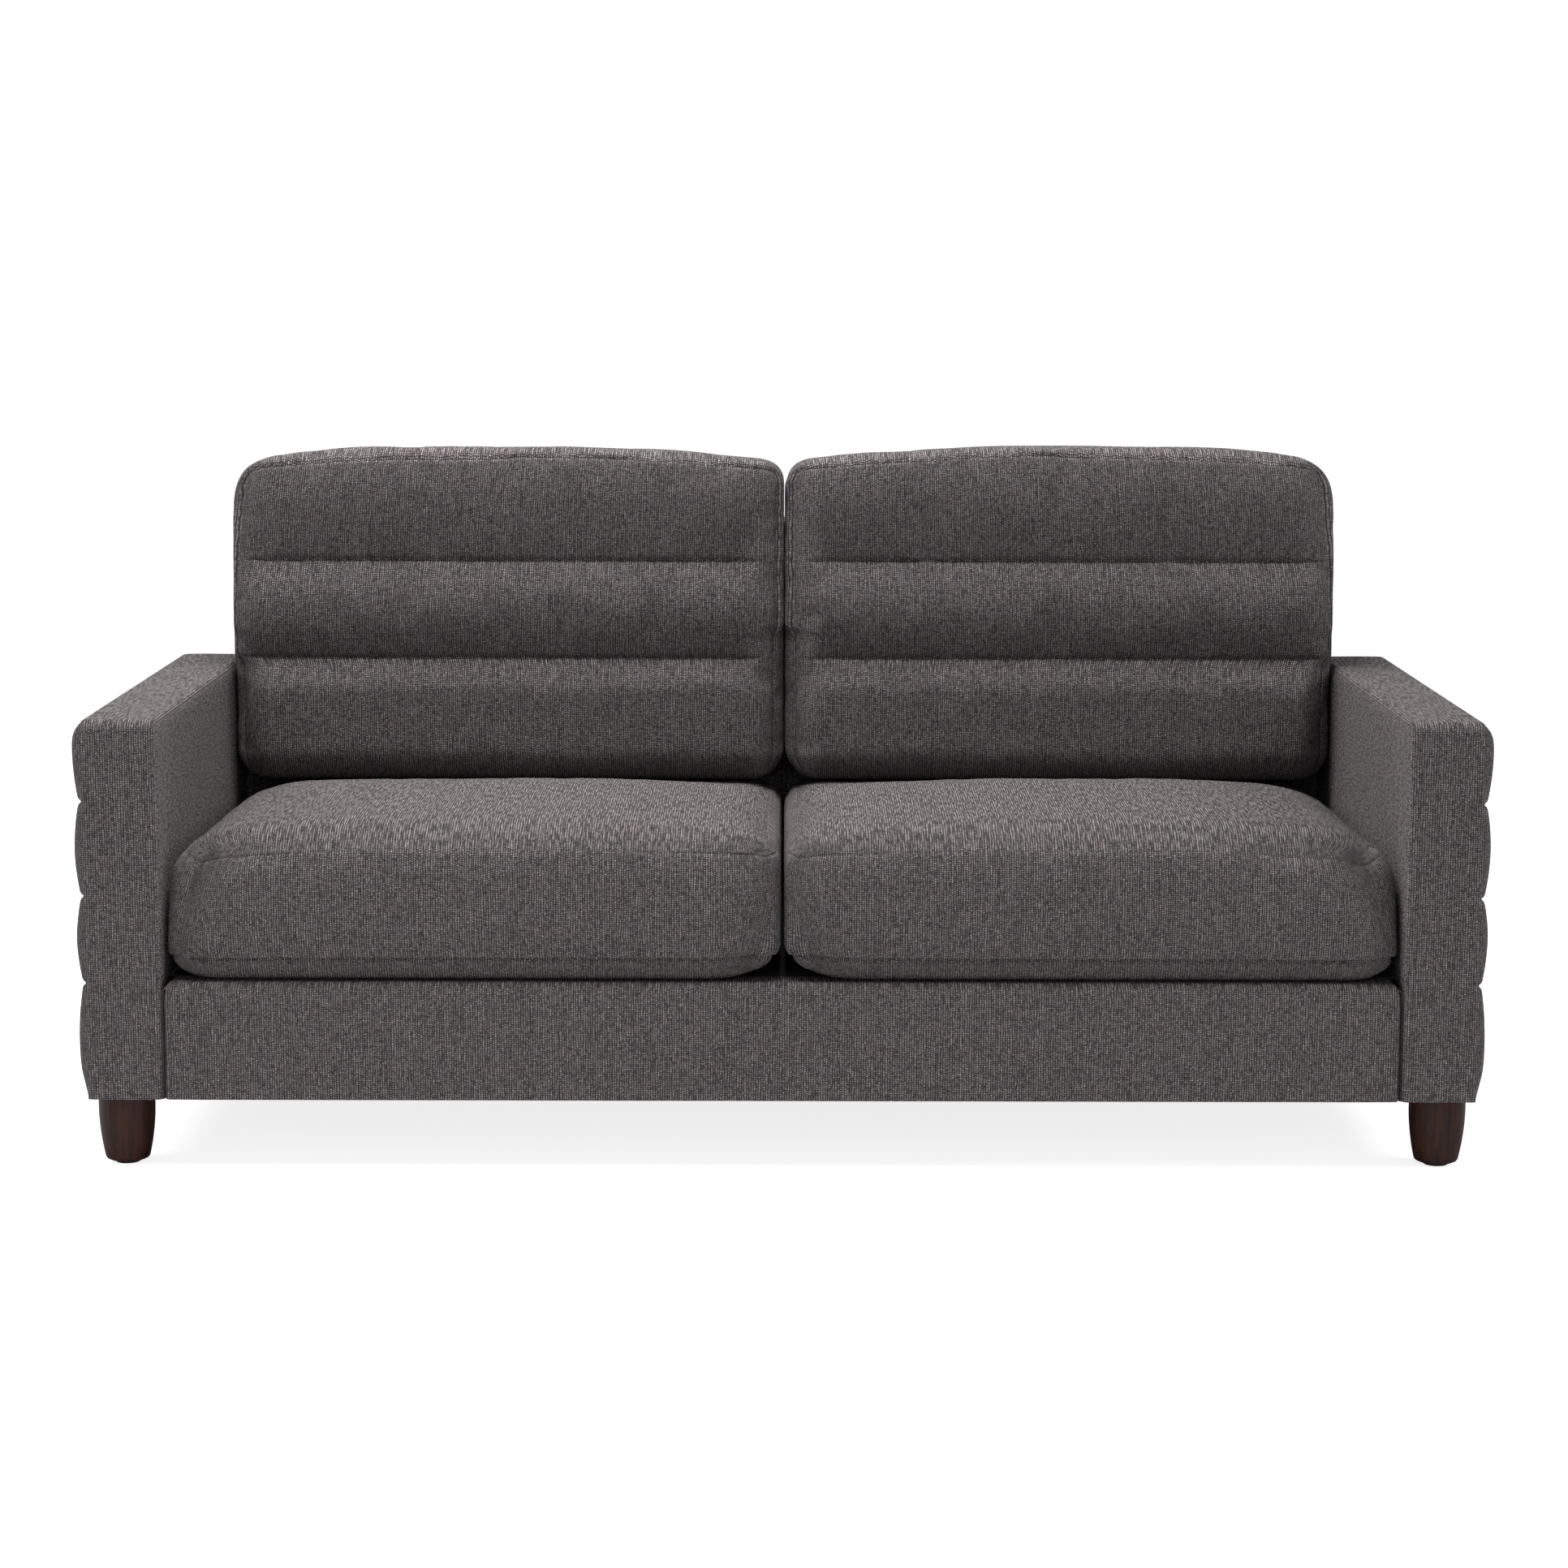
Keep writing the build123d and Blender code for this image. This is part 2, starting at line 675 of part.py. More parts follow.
# Back cushions: loose, sewn across into three channels. They stand on the seat cushions and lean on the
# inside of the back.
back_front_setback = 148.0
back_channel_rises = (24.0, 18.0, 18.0)
back_side_rise_share = 0.25
back_side_draw = 26.0
back_rear_draw = 10.0
back_draw_run = 70.0
back_seam_heights = (659.0, 814.0)
back_top_seam_drop = 15.0
back_top_rear_drop = 10.0
back_top_rise = 12.5
back_corner_radius = 40.0
back_side_fall = 22.0
back_stand_gap = 0.6

back_low_y = inside_back_y(deck_height) - back_front_setback
back_bottom = seat_top_z(back_low_y) + back_stand_gap


def back_section(x, inset):
    """One upright section of a back cushion, at an inset from its nearer side."""
    drop = corner_drop(inset, back_corner_radius)
    low = back_bottom + drop
    top = back_height - drop - back_side_fall * (1 - fullness(inset))
    draw = corner_drop(inset, back_draw_run) / back_draw_run
    full = back_side_rise_share + (1 - back_side_rise_share) * (1 - draw)

    def front(z):
        return inside_back_y(z) - back_front_setback + back_side_draw * draw

    def rear(z):
        return inside_back_y(z) - cushion_clearance - back_rear_draw * draw

    heights = [low, *back_seam_heights, top - back_top_seam_drop]
    corners = [(rear(low), low)] + [(front(z), z) for z in heights]
    corners.append((rear(top), top - back_top_rear_drop))
    rises = [0] + [rise * full for rise in back_channel_rises] + [back_top_rise, 0]
    return outline(lambda y, z: (x, y, z), corners, rises)


for name, side in sides.items():
    save(f"seat_cushion_{name}", cushion(seat_section, side))
    save(f"back_cushion_{name}", cushion(back_section, side))
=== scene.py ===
import bmesh
import bpy
import math
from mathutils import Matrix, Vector, noise


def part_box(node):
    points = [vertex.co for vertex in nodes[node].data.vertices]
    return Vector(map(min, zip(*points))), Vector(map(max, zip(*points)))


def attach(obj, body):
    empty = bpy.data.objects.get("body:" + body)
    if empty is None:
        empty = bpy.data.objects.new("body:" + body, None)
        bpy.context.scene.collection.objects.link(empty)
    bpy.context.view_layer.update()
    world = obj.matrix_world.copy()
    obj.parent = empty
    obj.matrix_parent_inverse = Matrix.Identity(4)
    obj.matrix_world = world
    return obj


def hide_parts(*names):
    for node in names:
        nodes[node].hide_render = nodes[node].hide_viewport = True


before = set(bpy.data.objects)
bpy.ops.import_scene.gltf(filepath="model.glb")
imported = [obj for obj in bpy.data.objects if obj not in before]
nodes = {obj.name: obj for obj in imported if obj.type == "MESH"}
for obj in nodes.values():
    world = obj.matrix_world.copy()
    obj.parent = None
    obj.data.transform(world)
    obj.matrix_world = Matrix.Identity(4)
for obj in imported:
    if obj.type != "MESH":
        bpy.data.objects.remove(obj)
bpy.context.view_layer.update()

# Timber frame: kiln-dried poplar rails, posts and boards, sawn, planed on the faces, glued and stapled.
# It is bare wood, and shows only where a panel or a cushion is off.
timber_colours = ("#b59a6e", "#d3bd92", "#8a744d")
timber_grain_run = 0.25
timber_grain_width = 0.004
timber_tones_per_metre = 6.0
planer_mark_pitch = 0.01885
wave_metre = math.tau / 20


def linear(colour):
    """A sRGB hex colour as the linear red, green, blue and alpha that shaders take."""
    parts = [int(colour[start : start + 2], 16) / 255 for start in (1, 3, 5)]
    return [part / 12.92 if part <= 0.04045 else ((part + 0.055) / 1.055) ** 2.4 for part in parts] + [1]


def new_material(name):
    """An empty material with a Principled shader on its output."""
    material = bpy.data.materials.new(name)
    material.use_nodes = True
    return material, material.node_tree, material.node_tree.nodes["Principled BSDF"]


def set_inputs(tree, node, inputs):
    """Sets a node's sockets, each to a value or a link."""
    for key, value in inputs.items():
        if isinstance(value, bpy.types.NodeSocket):
            tree.links.new(value, node.inputs[key])
        else:
            node.inputs[key].default_value = value


def add(tree, kind, inputs, **settings):
    """Adds a shader node with its settings and its inputs."""
    node = tree.nodes.new("ShaderNode" + kind)
    for name, value in settings.items():
        setattr(node, name, value)
    set_inputs(tree, node, inputs)
    return node


# Planed poplar: pale and dull, with long straight grain that shows as darker streaks. Real planer marks
# are 2 mm apart, and are drawn wider so that they show. A wave of scale wave_metre repeats each metre.
planed_poplar, tree, surface = new_material("planed_poplar")
place = add(tree, "TexCoord", {}).outputs["Object"]
stretch = (1 / timber_grain_run, 1 / timber_grain_width, 1 / timber_grain_width)
long_grain = add(tree, "Mapping", {"Vector": place, "Scale": stretch})
grain = add(tree, "TexNoise", {"Vector": long_grain.outputs[0], "Scale": 1.0, "Detail": 6.0})
tone = add(tree, "TexNoise", {"Vector": place, "Scale": timber_tones_per_metre, "Detail": 2.0})
shades = {"Factor": grain.outputs["Fac"], 6: linear(timber_colours[0]), 7: linear(timber_colours[1])}
wood = add(tree, "Mix", shades, data_type="RGBA")
shades = {"Factor": tone.outputs["Fac"], 6: wood.outputs[2], 7: linear(timber_colours[2])}
wood = add(tree, "Mix", shades, data_type="RGBA")
marks = {"Vector": place, "Scale": wave_metre / planer_mark_pitch, "Distortion": 1.0}
marks = add(tree, "TexWave", marks).outputs["Fac"]
relief = add(tree, "Bump", {"Height": grain.outputs["Fac"], "Distance": 0.0006, "Strength": 0.5})
relief = add(tree, "Bump", {"Height": marks, "Distance": 0.0002, "Normal": relief.outputs[0]})
set_inputs(tree, surface, {"Base Color": wood.outputs[2], "Roughness": 0.72, "Normal": relief.outputs[0]})

timber_nodes = ["corner_blocks", "seat_centre_stretcher"]
timber_nodes += [f"seat_{rail}" for rail in ("front_rail", "rear_rail", "side_rail_left", "side_rail_right")]
timber_nodes += [f"back_post_{post}" for post in ("left", "right", "centre")]
timber_nodes += [f"back_{rail}" for rail in ("top_rail", "lower_rails", "foot_rails")]
for part in ("front_post", "rear_post", "top_board", "bottom_rail"):
    timber_nodes += [f"arm_{part}_left", f"arm_{part}_right"]


def finish_nodes(names, material):
    """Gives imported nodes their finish."""
    for name in names:
        nodes[name].data.materials.clear()
        nodes[name].data.materials.append(material)


finish_nodes(timber_nodes, planed_poplar)

# Arm panels: 3 mm hardboard, pressed from wood fibre, stapled to both sides of each arm's box.
# It closes the arm, so that the padding lies on a flat ground.
hardboard_colours = ("#5b4330", "#7b5f45")
fibre_length = 0.0025

# Pressed hardboard: brown, slightly shiny from the press, with a mottle of short fibres.
pressed_hardboard, tree, surface = new_material("pressed_hardboard")
place = add(tree, "TexCoord", {}).outputs["Object"]
fibres = add(tree, "TexNoise", {"Vector": place, "Scale": 1 / fibre_length, "Detail": 4.0})
shades = {"Factor": fibres.outputs["Fac"], 6: linear(hardboard_colours[0]), 7: linear(hardboard_colours[1])}
board = add(tree, "Mix", shades, data_type="RGBA")
relief = add(tree, "Bump", {"Height": fibres.outputs["Fac"], "Distance": 0.0002})
set_inputs(tree, surface, {"Base Color": board.outputs[2], "Roughness": 0.5, "Normal": relief.outputs[0]})
panels = [f"arm_{part}_panel_{side}" for part in ("inner", "outer") for side in ("left", "right")]
finish_nodes(panels, pressed_hardboard)

# Springs, clips and fixings: sinuous springs bent from hard wire, held in pressed clips, and bolts and
# leg plates of mild steel. The wire is left as drawn; the fixings are zinc plated.
spring_colours = ("#6f6a63", "#4b443c")
oil_patches_per_metre = 90.0
zinc_colours = ("#a9aba8", "#8d908f")
zinc_spangle = 0.004

# Drawn spring steel: dark grey metal with a faint brown oil film, smooth along the wire.
drawn_spring_steel, tree, surface = new_material("drawn_spring_steel")
place = add(tree, "TexCoord", {}).outputs["Object"]
film = add(tree, "TexNoise", {"Vector": place, "Scale": oil_patches_per_metre, "Detail": 3.0})
shades = {"Factor": film.outputs["Fac"], 6: linear(spring_colours[0]), 7: linear(spring_colours[1])}
oil = add(tree, "Mix", shades, data_type="RGBA")
rough = add(tree, "MapRange", {"Value": film.outputs["Fac"], "To Min": 0.28, "To Max": 0.5})
set_inputs(tree, surface, {"Base Color": oil.outputs[2], "Metallic": 1.0, "Roughness": rough.outputs[0]})
finish_nodes(["seat_springs"], drawn_spring_steel)

# Zinc plate: pale bluish metal with soft patches of brighter and duller crystal.
zinc_plate, tree, surface = new_material("zinc_plate")
place = add(tree, "TexCoord", {}).outputs["Object"]
spangle = add(tree, "TexVoronoi", {"Vector": place, "Scale": 1 / zinc_spangle})
shades = {"Factor": spangle.outputs["Distance"], 6: linear(zinc_colours[0]), 7: linear(zinc_colours[1])}
plate = add(tree, "Mix", shades, data_type="RGBA")
rough = add(tree, "MapRange", {"Value": spangle.outputs["Distance"], "To Min": 0.25, "To Max": 0.45})
set_inputs(tree, surface, {"Base Color": plate.outputs[2], "Metallic": 1.0, "Roughness": rough.outputs[0]})
finish_nodes(["spring_clips", "leg_plates", "leg_bolts", "arm_bolts"], zinc_plate)

# Webbing: elastic straps up the back and across it, and flat ties across the springs. They are woven
# from polypropylene and rubber, stapled to the frame at each end.
webbing_colours = ("#2b2a2c", "#59545a")
webbing_thread = 0.01005

# Woven webbing: black and dull, with diagonal threads. They are drawn ten times as wide, so that they show.
woven_webbing, tree, surface = new_material("woven_webbing")
place = add(tree, "TexCoord", {}).outputs["Object"]
diagonal = add(tree, "Mapping", {"Vector": place, "Rotation": (0.6, 0.6, 0.8)})
threads = add(tree, "TexWave", {"Vector": diagonal.outputs[0], "Scale": wave_metre / webbing_thread})
shades = {"Factor": threads.outputs["Fac"], 6: linear(webbing_colours[0]), 7: linear(webbing_colours[1])}
weave = add(tree, "Mix", shades, data_type="RGBA")
relief = add(tree, "Bump", {"Height": threads.outputs["Fac"], "Distance": 0.0004})
set_inputs(tree, surface, {"Base Color": weave.outputs[2], "Roughness": 0.85, "Normal": relief.outputs[0]})


def lines(low, high, step, seams=(), fine=0.003):
    """Places for mesh lines between two ends: a step apart, and closer near each seam."""
    places = [low]
    while places[-1] < high - 1e-6:
        here = places[-1]
        gap = min((abs(here - seam) for seam in seams), default=1)
        there = here + min(step, fine + 0.45 * gap)
        crossed = [seam for seam in seams if here + 1e-6 < seam < there]
        there = min(crossed) if crossed else there
        if there > high - fine / 2:
            there = high
        places.append(there)
    return places


def placed(name, data):
    """A new object in the scene."""
    piece = bpy.data.objects.new(name, data)
    bpy.context.scene.collection.objects.link(piece)
    return piece


def sewn_form(name, across, depths, along, shape):
    """A closed form on a lattice's outside. The cloth's measures, in metres, are kept as a map, and each
    point's place on the lattice as an attribute."""
    index = {}
    points = []
    plan = []
    faces = []
    cloth = []

    def vertex(key):
        if key not in index:
            index[key] = len(points)
            i, j, k = key
            points.append(shape(across[i], depths[j], along[k]))
            plan.append((across[i], depths[j], along[k]))
        return index[key]

    last = (len(across) - 1, len(depths) - 1, len(along) - 1)
    for axis in range(3):
        first, second = [other for other in range(3) if other != axis]
        for level in (0, last[axis]):
            for one in range(last[first]):
                for two in range(last[second]):
                    corners = []
                    for step_one, step_two in ((0, 0), (1, 0), (1, 1), (0, 1)):
                        key = [level] * 3
                        key[first] = one + step_one
                        key[second] = two + step_two
                        corners.append(tuple(key))
                    faces.append([vertex(key) for key in corners])
                    for i, j, k in corners:
                        turn = depths[j] - depths[0]
                        u = across[i] + (0 if axis != 0 else -turn if level == 0 else turn)
                        v = along[k] + (0 if axis != 2 else -turn if level == 0 else turn)
                        cloth.append((u, v))
    mesh = bpy.data.meshes.new(name)
    mesh.from_pydata(points, [], faces)
    layer = mesh.uv_layers.new(name="cloth")
    layer.uv.foreach_set("vector", [value for pair in cloth for value in pair])
    places = mesh.attributes.new("plan", "FLOAT_VECTOR", "POINT")
    places.data.foreach_set("vector", [value for place in plan for value in place])
    shell = bmesh.new()
    shell.from_mesh(mesh)
    bmesh.ops.recalc_face_normals(shell, faces=shell.faces)
    shell.to_mesh(mesh)
    shell.free()
    mesh.shade_smooth()
    return placed(name, mesh)


def fit(piece, material, body, slot, *replaced):
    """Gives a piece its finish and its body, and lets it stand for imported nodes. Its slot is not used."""
    piece.data.materials.append(material)
    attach(piece, body)
    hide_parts(*replaced)


def joined(name, parts):
    """One mesh from several like parts."""
    with bpy.context.temp_override(active_object=parts[0], selected_editable_objects=parts):
        bpy.ops.object.join()
    parts[0].name = name
    return parts[0]


inside_back_foot = 0.377
back_rake = 0.03
deck_height = 0.270
inner_x = 0.879


def inside_back_y(z):
    """Where the padded inside of the back lies at a height. It leans back as it rises."""
    return inside_back_foot + back_rake * (z - deck_height)


strap_width = 0.050
strap_thickness = 0.002
strap_edge_round = 0.25
strap_waist = 0.05
upright_straps = 6
cross_strap_foot = 0.350
cross_strap_span = 0.503
cross_strap_shares = (0.24, 0.5, 0.76)
back_half = 0.871
cover_depth = 0.010
strap_low, strap_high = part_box("back_webbing")
strap_lines = lines(-strap_width / 2, strap_width / 2, 0.008)


def strap_depth(across, depth):
    """How far a place lies behind a strap's front. The strap is thinner at its edges."""
    edge = (2 * across / strap_width) ** 4
    return depth + strap_thickness * strap_edge_round * edge * (1 if depth < strap_thickness / 2 else -1)


straps = []
for number in range(upright_straps):
    middle = -back_half + 2 * back_half / (upright_straps + 1) * (number + 1)

    def upright(x, depth, z):
        waist = 1 - strap_waist * math.sin(math.pi * (z - strap_low.z) / (strap_high.z - strap_low.z))
        return (middle + x * waist, inside_back_y(z) + cover_depth + strap_depth(x, depth), z)

    along = lines(strap_low.z, strap_high.z, 0.02)
    straps.append(sewn_form("strap", strap_lines, (0, strap_thickness), along, upright))
fit(joined("back_webbing_straps", straps), woven_webbing, "frame", "webbing", "back_webbing")

straps = []
for share in cross_strap_shares:
    middle = cross_strap_foot + share * cross_strap_span

    def level(z, depth, x):
        behind = cover_depth + strap_thickness + strap_depth(z, depth)
        return (x, inside_back_y(middle + z) + behind, middle + z)

    along = lines(-back_half, back_half, 0.03)
    straps.append(sewn_form("strap", strap_lines, (0, strap_thickness), along, level))
fit(joined("back_cross_straps", straps), woven_webbing, "frame", "webbing", "back_cross_webbing")
finish_nodes(["spring_ties"], woven_webbing)

# Legs: hardwood turned on a lathe, tapered and a little barrelled, with an eased foot edge, stained
# and lacquered, each on a hanger bolt. Nylon glides are driven into their feet.
leg_rings = 40
leg_segments = 64
leg_top_radius = 0.040
leg_foot_radius = 0.0305
leg_barrel = 0.0035
foot_ease = 0.006
leg_top = 0.101
leg_top_ease = 0.001
glide_height = 0.004
leg_places = {"front": -0.397, "rear": 0.397}
leg_x = 0.941
walnut_colours = ("#190b05", "#3a1a0b", "#0a0402")
walnut_vessel = 0.0007
walnut_band = 0.006
walnut_upright_share = 0.06

# Lacquered walnut stain: very dark brown with reddish upright grain, under a satin clear coat.
stained_walnut, tree, surface = new_material("lacquered_walnut_stain")
place = add(tree, "TexCoord", {}).outputs["Object"]
turned = add(tree, "Mapping", {"Vector": place, "Scale": (1, 1, walnut_upright_share)}).outputs[0]
bands = add(tree, "TexNoise", {"Vector": turned, "Scale": 1 / walnut_band, "Detail": 3.0})
vessels = add(tree, "TexNoise", {"Vector": turned, "Scale": 1 / walnut_vessel, "Detail": 2.0})
spread = add(tree, "MapRange", {"Value": bands.outputs["Fac"], "From Min": 0.35, "From Max": 0.65})
shades = {"Factor": spread.outputs[0], 6: linear(walnut_colours[0]), 7: linear(walnut_colours[1])}
wood = add(tree, "Mix", shades, data_type="RGBA")
pores = {"Value": vessels.outputs["Fac"], "From Min": 0.55, "From Max": 0.7, "To Max": 0.6}
pores = add(tree, "MapRange", pores)
shades = {"Factor": pores.outputs[0], 6: wood.outputs[2], 7: linear(walnut_colours[2])}
wood = add(tree, "Mix", shades, data_type="RGBA")
relief = add(tree, "Bump", {"Height": vessels.outputs["Fac"], "Distance": 0.0001, "Strength": 0.4})
set_inputs(
    tree,
    surface,
    {
        "Base Color": wood.outputs[2],
        "Roughness": 0.5,
        "Specular IOR Level": 0.2,
        "Coat Weight": 0.05,
        "Coat Roughness": 0.3,
        "Normal": relief.outputs[0],
    },
)


def between(first, second, share):
    """A value part of the way from the first to the second."""
    return first + (second - first) * share


def rounded(inset, radius):
    """How far a rounded edge falls back, at a distance in from the edge."""
    return radius - math.sqrt(radius**2 - max(radius - inset, 0) ** 2)


def turned_leg(name, x, y):
    """A leg turned ring by ring from its side line, closed at the top and foot."""
    outline = []
    for number in range(leg_rings + 1):
        share = number / leg_rings
        height = between(leg_top, glide_height, share)
        radius = between(leg_top_radius, leg_foot_radius, share) + leg_barrel * (1 - (2 * share - 1) ** 2)
        outline.append((radius - rounded(height - glide_height, foot_ease), height))
    outline[0] = (outline[0][0], leg_top - leg_top_ease)
    outline = [(outline[0][0] - leg_top_ease, leg_top)] + outline + [(outline[-1][0] / 2, glide_height)]
    points = [(x, y, leg_top), (x, y, glide_height)]
    for radius, height in outline:
        for number in range(leg_segments):
            turn = 2 * math.pi * number / leg_segments
            points.append((x + radius * math.cos(turn), y + radius * math.sin(turn), height))
    faces = []
    last = len(points) - leg_segments
    for here in range(leg_segments):
        there = (here + 1) % leg_segments
        faces += [(0, 2 + here, 2 + there), (1, last + there, last + here)]
        for ring in range(2, last, leg_segments):
            below = ring + leg_segments
            faces.append((ring + here, below + here, below + there, ring + there))
    mesh = bpy.data.meshes.new(name)
    mesh.from_pydata(points, [], faces)
    mesh.shade_smooth()
    return placed(name, mesh)


for end, y in leg_places.items():
    pair = joined(f"turned_legs_{end}", [turned_leg("leg", x, y) for x in (-leg_x, leg_x)])
    fit(pair, stained_walnut, "frame", "leg_wood", f"legs_{end}")

# Moulded nylon: dark brown and waxy, scuffed by the floor.
nylon_colours = ("#3a3735", "#24211f")
nylon_scuffs_per_metre = 400.0
moulded_nylon, tree, surface = new_material("moulded_nylon")
place = add(tree, "TexCoord", {}).outputs["Object"]
scuffs = add(tree, "TexNoise", {"Vector": place, "Scale": nylon_scuffs_per_metre, "Detail": 4.0})
shades = {"Factor": scuffs.outputs["Fac"], 6: linear(nylon_colours[0]), 7: linear(nylon_colours[1])}
nylon = add(tree, "Mix", shades, data_type="RGBA")
rough = add(tree, "MapRange", {"Value": scuffs.outputs["Fac"], "To Min": 0.35, "To Max": 0.6})
set_inputs(tree, surface, {"Base Color": nylon.outputs[2], "Roughness": rough.outputs[0], "IOR": 1.53})
finish_nodes(["leg_glides"], moulded_nylon)

# Deck and dust cover: black spunbond cloth, stretched over the springs and under the frame and stapled
# along its edges. The deck lies on a thin felt.
lining_colours = ("#232225", "#3a393d")
spunbond_dot = 0.0022
lining_haze_per_metre = 120.0

# Spunbond cloth: black and matt, with a grid of pressed dots, drawn at twice their pitch so that they show.
spunbond_cloth, tree, surface = new_material("spunbond_cloth")
place = add(tree, "TexCoord", {}).outputs["Object"]
dots = add(tree, "TexVoronoi", {"Vector": place, "Scale": 1 / spunbond_dot, "Randomness": 0.25})
haze = add(tree, "TexNoise", {"Vector": place, "Scale": lining_haze_per_metre, "Detail": 4.0})
shades = {"Factor": haze.outputs["Fac"], 6: linear(lining_colours[0]), 7: linear(lining_colours[1])}
lining = add(tree, "Mix", shades, data_type="RGBA")
relief = add(tree, "Bump", {"Height": dots.outputs["Distance"], "Distance": 0.0003})
set_inputs(tree, surface, {"Base Color": lining.outputs[2], "Roughness": 0.9, "Normal": relief.outputs[0]})

deck_low, deck_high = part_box("seat_deck")
deck_thickness = 0.004
deck_waves = 8
deck_sag = 0.0016
deck_creases = 0.0006
deck_set_down = 0.0007
deck_foot = 0.0009


def deck(x, depth, y):
    """The deck's cloth, a little lower between springs than over them."""
    if depth:
        return (x, y, deck_low.z + deck_foot)
    wave = 0.5 - 0.5 * math.cos(2 * math.pi * deck_waves * (x + inner_x) / (2 * inner_x))
    edge = min(1, (y - deck_low.y) / 0.05, (deck_high.y - y) / 0.05, (inner_x - abs(x)) / 0.03)
    sag = deck_sag * (1 - wave) * max(edge, 0) + deck_creases * noise.noise(Vector((x * 9, y * 9, 0)))
    return (x, y, deck_high.z - deck_set_down - sag)


across = lines(deck_low.x, deck_high.x, 0.012)
along = lines(deck_low.y, deck_high.y, 0.012)
piece = sewn_form("seat_deck_cloth", across, (0, deck_thickness), along, deck)
fit(piece, spunbond_cloth, "frame", "lining", "seat_deck")

dust_low, dust_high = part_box("dust_cover")
dust_cut = 0.035
dust_thickness = 0.0005
dust_creases = 0.0003
dust_set_up = 0.0006


def dust_cloth_face(x, y):
    """True where the dust cover isn't cut away round a leg plate."""
    return abs(abs(x) - leg_x) > dust_cut or abs(abs(y) - leg_places["rear"]) > dust_cut


mesh = bpy.data.meshes.new("dust_cover_cloth")
cuts_x = [leg + cut for leg in (-leg_x, leg_x) for cut in (-dust_cut, dust_cut)]
cuts_y = [leg + cut for leg in leg_places.values() for cut in (-dust_cut, dust_cut)]
xs = lines(dust_low.x, dust_high.x, 0.03, cuts_x, 0.01)
ys = lines(dust_low.y, dust_high.y, 0.03, cuts_y, 0.01)
shell = bmesh.new()
grid = {}
for i in range(len(xs) - 1):
    for j in range(len(ys) - 1):
        if not dust_cloth_face((xs[i] + xs[i + 1]) / 2, (ys[j] + ys[j + 1]) / 2):
            continue
        corners = []
        for key in ((i, j), (i + 1, j), (i + 1, j + 1), (i, j + 1)):
            if key not in grid:
                x, y = xs[key[0]], ys[key[1]]
                wave = dust_creases * noise.noise(Vector((x * 7, y * 7, 3)))
                grid[key] = shell.verts.new((x, y, dust_low.z + dust_set_up + wave))
            corners.append(grid[key])
        shell.faces.new(corners)
shell.to_mesh(mesh)
shell.free()
mesh.shade_smooth()
piece = placed("dust_cover_cloth", mesh)
thicken = piece.modifiers.new("cloth", "SOLIDIFY")
thicken.thickness = dust_thickness
thicken.offset = 1
fit(piece, spunbond_cloth, "frame", "lining", "dust_cover")

# Upholstery cloth: a heavy chenille, woven in upright ribs from soft taupe and charcoal yarns. Each rib
# is a row of small nubs. Covered parts are cut so that the ribs run up them, or front to back on tops.
rib_pitch = 3.4
nub_length = 2.8
rib_wander = 0.4
nub_slip = 0.2
pile_height = 0.0018
crumple_height = 0.0008
gap_colour = "#1d1a1b"
yarn_colours = ("#403b3d", "#dacfcb")
tint_colours = ("#7a7069", "#6b6c78")

# Woven chenille: matt and nubbly, dark between its ribs, in uneven streaks of lighter and darker yarn. A
# real rib is some 2 mm wide, and it is drawn wider so that it shows.
woven_chenille, tree, surface = new_material("woven_chenille")
cloth = add(tree, "UVMap", {}, uv_map="cloth").outputs[0]
cloth_mm = add(tree, "VectorMath", {0: cloth, 3: 1000.0}, operation="SCALE").outputs[0]

# Each pattern: how wide and how long its patches are on the cloth, in millimetres, and its detail. Their
# values go from -1 to 1.
patterns = {
    "wander": (7.0, 16.0, 1.0),
    "slip": (3.4, 8.0, 0.0),
    "fuzz": (1.1, 1.1, 3.0),
    "slub": (3.4, 9.0, 1.0),
    "streak": (2.2, 27.0, 0.0),
    "weft": (12.0, 2.8, 1.0),
    "crumple": (7.0, 12.0, 1.0),
    "tint": (22.0, 30.0, 2.0),
}
for name, (wide, long, detail) in patterns.items():
    patch = add(tree, "Mapping", {"Vector": cloth_mm, "Scale": (1 / wide, 1 / long, 1)})
    inputs = {"Vector": patch.outputs[0], "Scale": 1.0, "Detail": detail}
    drawn = add(tree, "TexNoise", inputs, noise_dimensions="2D").outputs["Fac"]
    spread = {"Value": drawn, "From Min": 0.3, "From Max": 0.7, "To Min": -1.0, "To Max": 1.0}
    patterns[name] = add(tree, "MapRange", spread).outputs[0]

# The ribs stand side by side, and each is a row of nubs.
measures = add(tree, "SeparateXYZ", {"Vector": cloth_mm})
shifts = {0: patterns["wander"], 1: rib_wander, 2: measures.outputs["X"]}
across_cloth = add(tree, "Math", shifts, operation="MULTIPLY_ADD").outputs[0]
rib_count = add(tree, "Math", {0: across_cloth, 1: rib_pitch}, operation="DIVIDE").outputs[0]
rib_number = add(tree, "Math", {0: rib_count}, operation="FLOOR").outputs[0]
rib_own = add(tree, "TexWhiteNoise", {"W": rib_number}, noise_dimensions="1D").outputs["Value"]
rib_share = add(tree, "Math", {0: rib_count, 1: 0.5}, operation="PINGPONG").outputs[0]
rib = {"Value": rib_share, "From Max": 0.42, "To Min": 0.04}
rib = add(tree, "MapRange", rib, interpolation_type="SMOOTHSTEP").outputs[0]
nub_count = add(tree, "Math", {0: measures.outputs["Y"], 1: nub_length}, operation="DIVIDE").outputs[0]
